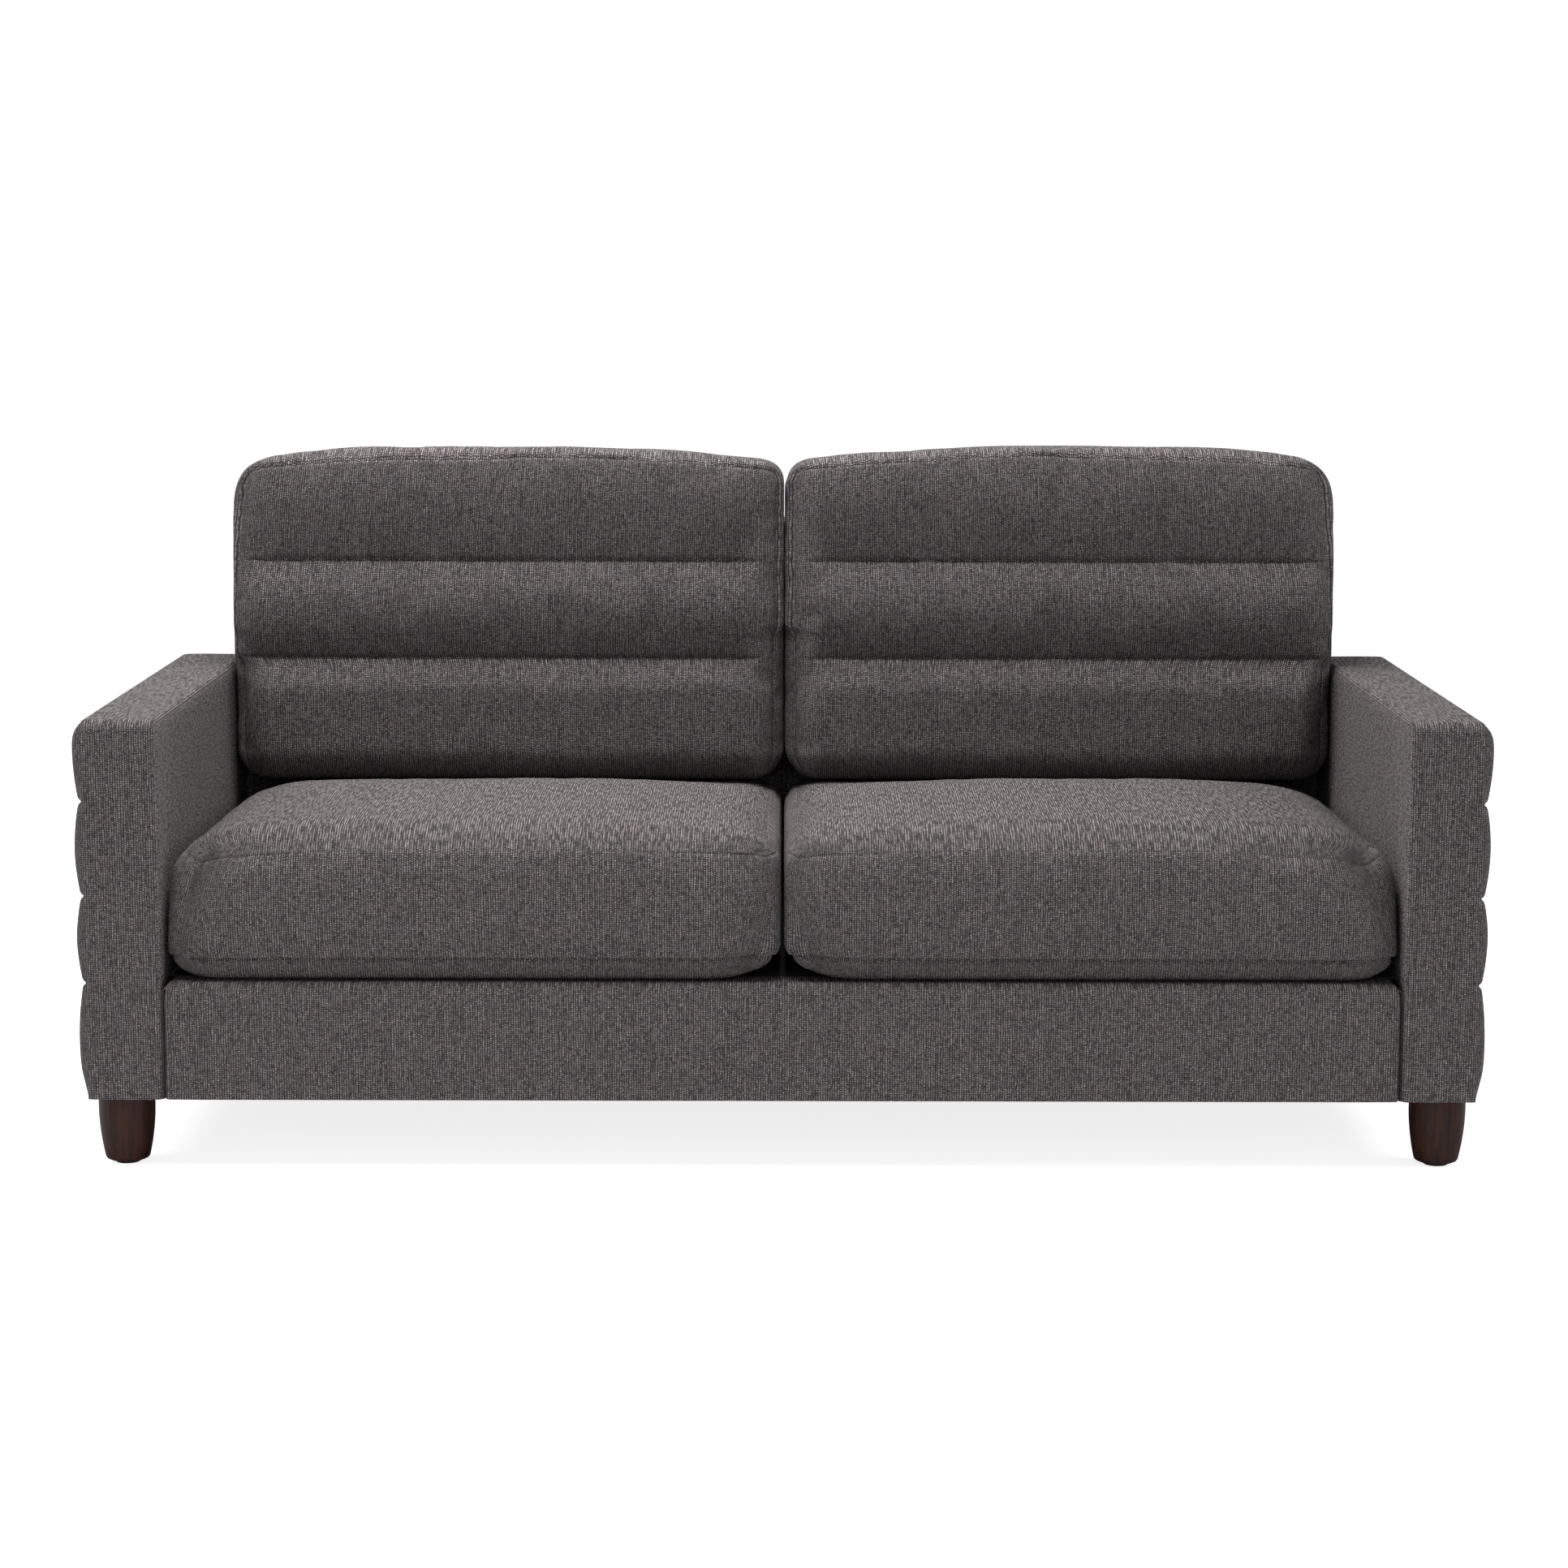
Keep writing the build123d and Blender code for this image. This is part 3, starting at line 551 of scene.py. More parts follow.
for value, amount in ((patterns["slip"], nub_slip), (rib_own, 0.5)):
    inputs = {0: value, 1: amount, 2: nub_count}
    nub_count = add(tree, "Math", inputs, operation="MULTIPLY_ADD").outputs[0]
nub_number = add(tree, "Math", {0: nub_count}, operation="FLOOR").outputs[0]
nub_share = add(tree, "Math", {0: nub_count, 1: 0.5}, operation="PINGPONG").outputs[0]
nub = {"Value": nub_share, "From Max": 0.45, "To Min": 0.16}
nub = add(tree, "MapRange", nub, interpolation_type="SMOOTHSTEP").outputs[0]
nub_place = add(tree, "CombineXYZ", {"X": rib_number, "Y": nub_number}).outputs[0]
nub_own = add(tree, "TexWhiteNoise", {"Vector": nub_place}, noise_dimensions="2D").outputs["Value"]
nub_dome = add(tree, "Math", {0: rib, 1: nub}, operation="MULTIPLY").outputs[0]

# The streaks are stronger where the cloth faces up: painted light and shade on the tops, where light
# grazes the pile. The weft shows more on the arms' inner faces, where the pile is rubbed.
skin = add(tree, "NewGeometry", {})
facing = add(tree, "SeparateXYZ", {"Vector": skin.outputs["Normal"]})
spot = add(tree, "SeparateXYZ", {"Vector": skin.outputs["Position"]})
outward = {0: facing.outputs["X"], 1: spot.outputs["X"]}
outward = add(tree, "Math", outward, operation="MULTIPLY").outputs[0]
rubbed = {"Value": outward, "From Min": -0.5, "From Max": -0.8, "To Min": 0.08, "To Max": 0.6}
rubbed = add(tree, "MapRange", rubbed).outputs[0]
# Painted light and shade: the streaks' contrast grows on cloth that faces up.
streak_and_painted_top_light = {"Value": facing.outputs["Z"], "From Min": 0.4, "From Max": 0.95, "To Min": 0.1, "To Max": 0.52}
streak_and_painted_top_light = add(tree, "MapRange", streak_and_painted_top_light, interpolation_type="SMOOTHSTEP").outputs[0]
yarn_share = 0.5
amounts = ((nub_own, 0.55), (rib_own, 0.1), (patterns["slub"], 0.1), (patterns["weft"], rubbed))
amounts += ((patterns["fuzz"], 0.16), (patterns["streak"], streak_and_painted_top_light))
for value, amount in amounts:
    inputs = {0: value, 1: amount, 2: yarn_share}
    yarn_share = add(tree, "Math", inputs, operation="MULTIPLY_ADD").outputs[0]
yarn_share = {"Value": yarn_share, "From Min": 0.38, "From Max": 1.3}
yarn_share = add(tree, "MapRange", yarn_share).outputs[0]
tint_share = add(tree, "MapRange", {"Value": patterns["tint"], "From Min": -1.0}).outputs[0]
colours = {}
for name, share, pair in (("yarn", yarn_share, yarn_colours), ("tint", tint_share, tint_colours)):
    inputs = {"Factor": share, 6: linear(pair[0]), 7: linear(pair[1])}
    colours[name] = add(tree, "Mix", inputs, data_type="RGBA").outputs[2]
inputs = {"Factor": 0.3, 6: colours["yarn"], 7: colours["tint"]}
yarn = add(tree, "Mix", inputs, data_type="RGBA").outputs[2]
inputs = {"Factor": nub_dome, 6: linear(gap_colour), 7: yarn}
colour = add(tree, "Mix", inputs, data_type="RGBA").outputs[2]

pile = nub_dome
for value, amount in ((nub_own, 0.35), (patterns["slub"], 0.1), (patterns["fuzz"], 0.08)):
    inputs = {0: value, 1: amount, 2: pile}
    pile = add(tree, "Math", inputs, operation="MULTIPLY_ADD").outputs[0]
crumples = add(tree, "Bump", {"Height": patterns["crumple"], "Distance": crumple_height})
relief = add(tree, "Bump", {"Height": pile, "Distance": pile_height, "Normal": crumples.outputs[0]})
set_inputs(
    tree,
    surface,
    {
        "Base Color": colour,
        "Roughness": 0.9,
        "Specular IOR Level": 0.25,
        "Sheen Weight": 0.15,
        "Sheen Roughness": 0.5,
        "Sheen Tint": linear("#c9c2c0"),
        "Normal": relief.outputs[0],
    },
)


def ease(share):
    """A number that goes smoothly from 0 to 1."""
    share = min(max(share, 0), 1)
    return share * share * (3 - 2 * share)


def groove(distance, width):
    """The depth, from 1 to 0, of a sewn valley at a distance from its seam."""
    return math.exp(-((distance / width) ** 2))


def softened(point, low, high, radii):
    """A point of a square block, moved on to the same block with rounded edges and corners."""
    inner = [min(max(value, a + r), b - r) for value, a, b, r in zip(point, low, high, radii)]
    offsets = [(value - core) / r for value, core, r in zip(point, inner, radii)]
    reach = max(abs(offset) for offset in offsets)
    length = math.sqrt(sum(offset * offset for offset in offsets))
    if length < 1e-9:
        return list(point)
    return [core + offset * r * reach / length for core, offset, r in zip(inner, offsets, radii)]


def unevenness(x, y, z, size, amount):
    """The slow swells of stuffing under cloth."""
    return amount * noise.noise(Vector((x / size, y / size, z / size)))


def hollows(x, y, z, size, amount, cut):
    """The same unevenness, only as hollows: its swells are cut off."""
    return max(unevenness(x, y, z, size, amount), -cut) + cut


# Inner arm pads: a thin sheet of foam under a plain panel, glued to the arm's inner board. The panel is
# sewn to the band along the arm's top and both ends.
hem = 0.102
arm_top = 0.645
arm_end = 0.450
arm_side_x = 0.9990
arm_side_rolls = {"inner": 0.008, "outer": 0.021}
arm_end_rolls = {"front": 0.018, "rear": 0.030}
arm_top_rolls = (0.018, 0.032)
arm_shoulder = 0.940
arm_shoulder_run = 0.045
least_roll = 0.002
pad_thickness = 0.011
seam_valley = 0.0010
seam_width = 0.0018
sides = {"left": -1, "right": 1}


def edged_lines(low, high, step, fine):
    """Places for mesh lines that are closer near both ends."""
    return lines(low, high, step, (low, high), fine)


def on_arm(x, y, z, depth, side_x=arm_side_x):
    """A place on the arm's square block, moved on to the round-edged padded arm, a depth under its face."""
    roll = arm_side_rolls["inner" if x < (inner_x + side_x) / 2 else "outer"]
    low = (inner_x, depth - arm_end, 0.0)
    high = (side_x, arm_end - depth, arm_top - depth)
    top_roll = between(*arm_top_rolls, ease((x - arm_shoulder) / arm_shoulder_run))
    end_roll = arm_end_rolls["front" if y < 0 else "rear"]
    radii = (roll, max(end_roll - depth, least_roll), max(top_roll - depth, least_roll))
    return softened((x, y, z), low, high, radii)


for name, side in sides.items():
    pad_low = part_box(f"arm_inner_pad_{name}")[0]

    def inner_face(y, depth, z):
        inset = min(arm_end - abs(y), arm_top - z)
        x, round_y, round_z = on_arm(inner_x, y, z, 0)
        sink = seam_valley * groove(inset, seam_width)
        sink += hollows(y, 0, z, 0.14, 0.0012, 0.0003) * ease((inset - 0.01) / 0.03)
        return (side * (x + (sink if depth == 0 else pad_thickness)), round_y, round_z)

    across = edged_lines(-arm_end, arm_end, 0.014, 0.0015)
    along = lines(pad_low.z, arm_top, 0.014, (arm_top,), 0.0015)
    piece = sewn_form(f"arm_inner_padding_{name}", across, (0, pad_thickness), along, inner_face)
    fit(piece, woven_chenille, "frame", "upholstery", f"arm_inner_pad_{name}")

# Outer arm pads: foam and cloth sewn through into four level channels. Each pad rolls over the arm's
# shoulder and round its ends, and is sewn to the band there.
outer_pad_x = 0.979
outer_pad_thickness = 0.020
channel_seam_x = 0.9922
channel_swell = 0.0073
channel_seams = (0.2682, 0.3930, 0.5283)
channel_past_hem = 0.004
channel_past_top = 0.03
channel_edges = (hem - channel_past_hem,) + channel_seams + (arm_top + channel_past_top,)
channel_valley = 0.0040
channel_valley_width = 0.003
hem_draw = 0.004
hem_draw_rise = 0.05
band_outer_x = 0.987
pad_tuck = 0.005


def in_channel(z, edges):
    """The channel that a height is in, how far up in it that is, and the distance to the nearest seam."""
    number = sum(z > seam for seam in edges[1:-1])
    share = (z - edges[number]) / (edges[number + 1] - edges[number])
    return number, share, min(abs(z - seam) for seam in edges[1:-1])


for name, side in sides.items():

    def outer_face(y, depth, z):
        share, near = in_channel(z, channel_edges)[1:]
        full = 1 - abs(2 * share - 1) ** 1.9
        out = channel_seam_x + channel_swell * full - channel_valley * groove(near, channel_valley_width)
        out += unevenness(y, side, z, 0.07, 0.0008) * full
        out -= hem_draw * ease((hem + hem_draw_rise - z) / hem_draw_rise)
        x = out - (out - outer_pad_x) * depth / outer_pad_thickness
        tuck = ease((band_outer_x - x) / 0.003) * pad_tuck
        tuck += seam_valley * groove(max(x - band_outer_x, 0), seam_width)
        y *= (arm_end - tuck) / arm_end
        z = hem + (z - hem) * (arm_top - tuck - hem) / (arm_top - hem)
        x, y, z = on_arm(x, y, z, tuck, out)
        return (side * x, y, z)

    across = edged_lines(-arm_end, arm_end, 0.014, 0.002)
    along = lines(hem, arm_top, 0.011, channel_seams + (arm_top,), 0.0015)
    through = lines(0, outer_pad_thickness, 0.0013)
    piece = sewn_form(f"arm_outer_channels_{name}", across, through, along, outer_face)
    fit(piece, woven_chenille, "frame", "upholstery", f"arm_outer_pad_{name}")

# Arm bands: one strip of cloth over thin foam that runs up the arm's front, over its top and down its
# back, sewn to the inner and outer panels along both edges and stapled under the hem.
band_thickness = 0.014
band_thin_edge = 0.0095
band_thin_width = 0.016
band_closing = 0.0015
band_join_valley = 0.0016
band_crease_valley = 0.0014
band_width = band_outer_x - inner_x
rise_run = arm_top - hem
band_run = 2 * (rise_run + arm_end)
band_join_back = 0.302
band_join = rise_run + band_join_back
band_crease_drop = 0.016
band_crease = rise_run - band_crease_drop

for name, side in sides.items():

    def band_face(share, depth, run):
        inset = min(share, band_width - share)
        if depth == 0:
            depth = hollows(share, side, run, 0.09, 0.0012, 0.0004) * ease(inset / 0.02)
            depth += seam_valley * groove(inset, seam_width)
            depth += band_join_valley * groove(run - band_join, seam_width)
            depth += band_crease_valley * groove(run - band_crease, seam_width)
        else:
            thin = 1 - ease((inset - band_thin_width) / 0.008)
            thin *= 0 if run < pad_low.z - hem and share < band_width / 2 else 1
            depth *= between(band_thickness, band_thin_edge, thin)
        reach = min(run, band_run - run)
        y = depth - arm_end
        z = hem + min(reach / rise_run, 1) * (arm_top - depth - hem)
        if reach > rise_run:
            y *= 1 - (reach - rise_run) / arm_end
        if run > band_run / 2:
            y = -y
        below_pad = share < 0.003 and z < pad_low.z + 0.004 and depth > 0.003
        x, y, z = on_arm(inner_x + share, y, z, depth)
        x = inner_x - band_closing if below_pad else x
        return (side * x, y, z)

    across = edged_lines(0, band_width, 0.009, 0.0012)
    bends = (0, band_crease, rise_run, band_join, band_run - rise_run, band_run)
    along = lines(0, band_run, 0.012, bends, 0.002)
    piece = sewn_form(f"arm_band_cloth_{name}", across, (0, 0.5, 1), along, band_face)
    fit(piece, woven_chenille, "frame", "upholstery", f"arm_band_{name}")

# Front rail pad: foam and cloth over the face of the front rail, turned back over its top under the
# seat cushions and stapled under the hem. Its top corners are rounded off beside the arms.
rail_pad_thickness = 0.0195
rail_pad_inner_bend = 0.0135
rail_flap_thickness = 0.0042
rail_pad_swell = 0.0012
rail_pad_bend = 0.014
rail_pad_corner = 0.014
rail_pad_lip = 0.005
rail_pad_gap = 0.003
rail_pad_end = inner_x - rail_pad_gap
rail_face_y = -0.4495
rail_top = 0.2697
rail_rise = rail_top - hem - rail_pad_bend
rail_bend_run = rail_pad_bend * math.pi / 2
rail_flap_width = 0.070
rail_flap_set_in = 0.0005
rail_top_run = rail_flap_width - rail_pad_bend - rail_flap_set_in
rail_run = rail_rise + rail_bend_run + rail_top_run


def rail_pad(x, depth, run):
    """The rail pad's face, its bend and its thin flap on top."""
    inset = rail_pad_end - abs(x)
    outside = depth < 0.001
    x *= 1 if outside else inner_x / rail_pad_end
    full = rail_pad_swell * (ease(inset / 0.05) - 1) + unevenness(x, 0, run, 0.16, 0.0009)
    y = rail_face_y + (rounded(inset, rail_pad_lip) - min(full, 0) if outside else 0)
    drop = rounded(inset, rail_pad_corner)
    if run < rail_rise:
        return (x, y + depth, hem + run * (1 - drop / rail_rise))
    angle = min((run - rail_rise) / rail_pad_bend, math.pi / 2)
    y += rail_pad_bend - (rail_pad_bend - min(depth, rail_pad_inner_bend)) * math.cos(angle)
    y += depth / rail_pad_thickness * (rail_pad_thickness - rail_pad_inner_bend) * math.cos(angle)
    y += max(run - rail_rise - rail_bend_run, 0)
    rise = (rail_pad_bend - min(depth, rail_flap_thickness)) * math.sin(angle)
    return (x, y, rail_top - rail_pad_bend - drop + rise)


across = edged_lines(-rail_pad_end, rail_pad_end, 0.014, 0.0012)
along = lines(0, rail_run, 0.012, (0, rail_rise, rail_rise + rail_bend_run), 0.003)
piece = sewn_form("front_rail_padding", across, (0, rail_pad_thickness), along, rail_pad)
fit(piece, woven_chenille, "frame", "upholstery", "front_rail_pad")

# Back cover: foam and cloth drawn over the back's frame from the deck up, over the top rail and down to
# the outback panel, with a gusset at each end.
cover_thickness = 0.010
cover_bend = 0.010
back_top = 0.870
back_rear_y = 0.440
gusset_width = 0.050
gusset_thickness = 0.0078
gusset_top = 0.861
gusset_set_in = 0.0002
gusset_valley = 0.0012
gusset_valley_width = 0.003
cover_edge_fall = 0.0015
cover_edge_valley = 0.003
cover_edge_width = 0.004
cover_foot = 0.2583
cover_rise = back_top - cover_foot - cover_bend
cover_bend_run = cover_bend * math.pi / 2
cover_top_y = inside_back_y(back_top)
cover_top_run = back_rear_y - cover_top_y - cover_bend
cover_run = cover_rise + cover_bend_run + cover_top_run


def back_cover(x, depth, run):
    """The cover's inside face, its bend and its top."""
    inset = inner_x - abs(x)
    sink = depth
    if depth < 0.001:
        sink = cover_edge_fall * (1 - ease(inset / 0.05)) + hollows(x, 1, run, 0.15, 0.001, 0.0005)
        sink += cover_edge_valley * groove(inset, cover_edge_width)
    if run < cover_rise:
        z = cover_foot + run
        return (x, inside_back_y(z) + sink, z)
    angle = min((run - cover_rise) / cover_bend, math.pi / 2)
    reach = cover_bend - min(sink, 0.0095)
    y = inside_back_y(back_top - cover_bend) + cover_bend - reach * math.cos(angle)
    z = back_top - cover_bend + reach * math.sin(angle)
    if run > cover_rise + cover_bend_run:
        y = between(y, back_rear_y, (run - cover_rise - cover_bend_run) / cover_top_run)
    return (x, y, z)


across = edged_lines(-inner_x, inner_x, 0.016, 0.0025)
along = lines(0, cover_run, 0.014, (cover_rise, cover_rise + cover_bend_run), 0.003)
cover_parts = [sewn_form("back_cover_face", across, (0, cover_thickness), along, back_cover)]
for side in sides.values():

    def gusset(run, depth, z):
        """The cover's end, from its face to the outback panel."""
        front = inside_back_y(z) + cover_depth - gusset_set_in
        y = between(front, back_rear_y - gusset_set_in, run / gusset_width)
        inset = min(run, gusset_width - run, gusset_top - z)
        sink = gusset_set_in + gusset_valley * groove(inset, gusset_valley_width)
        return (side * (inner_x - (sink if depth == 0 else gusset_thickness)), y, z)

    across = edged_lines(0, gusset_width, 0.010, 0.002)
    along = lines(cover_foot, gusset_top, 0.014, (gusset_top,), 0.002)
    cover_parts.append(sewn_form("gusset", across, (0, gusset_thickness), along, gusset))
piece = joined("back_cover_cloth", cover_parts)
fit(piece, woven_chenille, "frame", "upholstery", "back_cover")

# Outback panel: the same cloth over card and a thin felt, drawn flat over the whole back of the frame
# and tacked blind along its edges.
out_low, out_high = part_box("outback_panel")
outback_thickness = 0.010
outback_edge_fall = 0.0018
outback_edge_valley = 0.002


def outback(x, depth, z):
    """The panel, seen from behind, a little full between its edges."""
    inset = min(inner_x - abs(x), out_high.z - z, z - out_low.z)
    sink = outback_edge_fall * (1 - ease(inset / 0.05))
    sink += outback_edge_valley * groove(inset, cover_edge_width)
    sink += hollows(x, 2, z, 0.2, 0.0008, 0.0004)
    return (x, out_high.y - sink if depth < 0.001 else out_low.y, z)


across = edged_lines(-inner_x, inner_x, 0.016, 0.003)
along = edged_lines(out_low.z, out_high.z, 0.016, 0.003)
piece = sewn_form("outback_cloth", across, (0, outback_thickness), along, outback)
fit(piece, woven_chenille, "frame", "upholstery", "outback_panel")

# Seat cushions: foam in a fibre wrap, boxed, with a crowned top panel that rolls over the front down to
# its seam, a deep boxing strip and a lower seam. They lie loose on the deck.
seat_low_seam = 0.302
seat_high_seam = 0.458
seat_nominal_top = 0.480
seat_front = -0.4405
seat_face_swell = 0.0065
seat_crown_y = -0.080
seat_low_radii = {
    "outer": (0.065, 0.028, 0.050),
    "middle": (0.085, 0.028, 0.052),
    "inner": (0.105, 0.028, 0.055),
}
seat_high_radii = {
    "outer": (0.130, 0.050, 0.064),
    "middle": (0.080, 0.040, 0.031),
    "inner": (0.060, 0.042, 0.044),
}
seat_held_depth = 0.17
seat_clearance = 0.001
seat_foot_clearance = 0.0005
seat_reveal = 0.02
seat_stuffing_move = 0.008
seat_parting = 0.002
seat_crown = {"front": 0.4845, "top": 0.490, "rear": 0.430}
seat_beside = {"front": 0.478, "rear": 0.454}
seat_valleys = ((seat_high_seam, 0.0016, 0.0022), (seat_low_seam, 0.0062, 0.0028))
stuffing_frames = 20
stuffing_pressure = 4.0
stuffing_spare_cloth = -0.02
on_line = 0.001


def stuffed(piece, held, seam_depth, low, high, most):
    """Lets a case swell under its stuffing, then draws its seams in. Held points stay, and no point moves
    further than the most. Held points and seams go by a point's place on the lattice."""
    plan = [tuple(place.vector) for place in piece.data.attributes["plan"].data]
    before = [vertex.co.copy() for vertex in piece.data.vertices]
    group = piece.vertex_groups.new(name="sewn")
    group.add([number for number, place in enumerate(plan) if held(*place)], 1.0, "REPLACE")
    case = piece.modifiers.new("stuffing", "CLOTH")
    case.settings.vertex_group_mass = "sewn"
    case.settings.use_pressure = True
    case.settings.uniform_pressure_force = stuffing_pressure
    case.settings.shrink_min = stuffing_spare_cloth
    case.settings.effector_weights.gravity = 0.0
    case.point_cache.frame_start = 1
    case.point_cache.frame_end = stuffing_frames
    for number in range(1, stuffing_frames + 1):
        bpy.context.scene.frame_set(number)
    swollen = piece.evaluated_get(bpy.context.evaluated_depsgraph_get()).to_mesh()
    after = [vertex.co.copy() for vertex in swollen.vertices]
    piece.modifiers.remove(case)
    piece.vertex_groups.remove(group)
    bpy.context.scene.frame_set(1)
    for vertex, start, end in zip(piece.data.vertices, before, after):
        move = end - start
        if move.length > 0:
            move *= most * (1 - math.exp(-move.length / most)) / move.length
        vertex.co = start + move
    piece.data.update()
    points = piece.data.vertices
    drawn = [vertex.co - vertex.normal * seam_depth(*place) for vertex, place in zip(points, plan)]
    for vertex, place in zip(points, drawn):
        vertex.co = [min(max(value, least), top) for value, least, top in zip(place, low, high)]
    smooth = piece.modifiers.new("smooth", "SUBSURF")
    smooth.levels = smooth.render_levels = 1


for name, side in sides.items():
    box_low, box_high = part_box(f"seat_cushion_{name}")
    seat_rear = box_high.y
    middle_x = (box_low.x + box_high.x) / 2
    half_width = (box_high.x - box_low.x) / 2

    def seat_top(x, y):
        """The top's height. It is full in the middle, lower beside the arms and at the rear."""
        full = 1 - min(abs((x - middle_x) / half_width), 1) ** 2.2
        beside = between(*seat_beside.values(), (y - seat_front) / (seat_rear - seat_front))
        if y < seat_crown_y:
            share = min((seat_crown_y - y) / (seat_crown_y - seat_front), 1)
            middle = between(seat_crown["top"], seat_crown["front"], share**2)
        else:
            share = (y - seat_crown_y) / (seat_rear - seat_crown_y)
            middle = between(seat_crown["top"], seat_crown["rear"], share**2)
        return between(beside, middle, full)

    def seat_form(x, y, z):
        end = "outer" if abs(x) > abs(middle_x) else "inner"
        to_end = ease((abs(x - middle_x) / half_width - 0.25) / 0.5)
        low_radii, high_radii = (
            [between(middle, at_end, to_end) for middle, at_end in zip(radii["middle"], radii[end])]
            for radii in (seat_low_radii, seat_high_radii)
        )
        upward = ease((z - 0.31) / 0.12)
        radii = [between(below, above, upward) for below, above in zip(low_radii, high_radii)]
        to_inner = seat_parting * (1 - ease(abs(x) / 0.1))
        low_x = box_low.x + seat_clearance + (to_inner if side > 0 else 0)
        high_x = box_high.x - seat_clearance - (to_inner if side < 0 else 0)
        low = (low_x, seat_front, box_low.z + seat_foot_clearance)
        high = (high_x, seat_rear - seat_clearance, seat_nominal_top)
        point = softened((x, y, z), low, high, radii)
        across_full = 1 - abs((point[0] - middle_x) / half_width) ** 4
        facing = ease((seat_front + 0.03 - point[1]) / 0.03)
        share = min(max((point[2] - seat_low_seam) / (seat_high_seam - seat_low_seam), 0), 1)
        swell = seat_face_swell * (1 - abs(2 * share - 1) ** 2.2)
        point[1] -= swell * facing * (0.35 + 0.65 * across_full)
        stretch = (seat_top(point[0], point[1]) - box_low.z) / (seat_nominal_top - box_low.z)
        point[2] = box_low.z + (point[2] - box_low.z) * stretch
        over = ease((point[2] - box_low.z - 0.08) / 0.1)
        point[2] += unevenness(point[0], point[1], side, 0.2, 0.003) * over
        point[2] += unevenness(point[0], point[1], side, 0.07, 0.001) * over
        point[1] += unevenness(point[0], side, point[2], 0.11, 0.0022) * facing
        return point

    across = edged_lines(box_low.x, box_high.x, 0.014, 0.005)
    depths = edged_lines(seat_front, box_high.y, 0.014, 0.005)
    stations = (box_low.z, seat_low_seam, seat_high_seam, seat_nominal_top)
    along = lines(box_low.z, seat_nominal_top, 0.012, stations, 0.002)
    piece = sewn_form(f"seat_cushion_cloth_{name}", across, depths, along, seat_form)

    def seat_inset(x, depth):
        """How far a place is in from the cushion's nearest upright side."""
        return min(x - box_low.x, box_high.x - x, depth - seat_front)

    def seat_seam(x, depth, z):
        """How deep a seam lies: the upper one is fine, and the lower one, under the roll, is drawn in."""
        if seat_inset(x, depth) > seat_reveal:
            return 0
        return sum(deep * groove(z - seam, wide) for seam, deep, wide in seat_valleys)

    def seat_held(x, depth, z):
        """True where the case can't swell. The upper seam gives way near the cushion's outer end."""
        near_end = abs(x) - abs(middle_x) > 0.55 * half_width
        seams = (seat_low_seam,) if near_end else (seat_low_seam, seat_high_seam)
        on_seam = seat_inset(x, depth) < on_line and min(abs(z - seam) for seam in seams) < on_line
        return z < seat_low_seam or depth > seat_held_depth or on_seam

    stuffed(piece, seat_held, seat_seam, box_low, box_high, seat_stuffing_move)
    fit(piece, woven_chenille, f"seat_cushion_{name}", "upholstery", f"seat_cushion_{name}")

# Back cushions: fibre-filled cases, sewn across in front into three padded channels, with a boxing
# strip round the sides and top. They stand loose on the seat and lean on the back.
back_seams = (0.659, 0.814)
back_swells = (0.031, 0.020, 0.018)
back_front_gap = 0.148
back_stuffing_move = 0.007
back_depth = 0.1475
back_edge_set = 0.012
back_low_radii = (0.055, 0.034, 0.050)
back_high_radii = {"outer": (0.050, 0.010, 0.045), "inner": (0.040, 0.010, 0.034)}
back_top_sinks = {"left": 0.0048, "right": 0.0}
back_inner_falls = {"left": 0.0012, "right": 0.0068}
back_swell_lean = 1.25
seam_end_insets = {"outer": 0.020, "inner": 0.036}
back_unsewn_swell = 0.016
back_end_drop = 0.020
back_shoulder = 0.83
back_held_depth = 0.09
back_held_foot = 0.03
back_valley_width = 0.0028
back_boxing_valley = 0.0042
back_channel_valley = 0.0045
back_past_foot = 0.02
back_past_top = 0.09
back_clearance = 0.001
back_inner_edges = {"left": -0.0010, "right": 0.0035}
back_reaches = {"left": 0.003, "right": 0}
back_side_x = 0.8765
back_over_arm = 0.011
back_side_slope = 0.0225


def outer_edge(z):
    """The cushion's outer side in front view. It is fuller above the arm, and slopes in to the top."""
    over_arm = back_over_arm * ease((z - 0.640) / 0.03)
    return back_side_x + over_arm - back_side_slope * max((z - 0.68) / 0.31, 0) ** 1.5


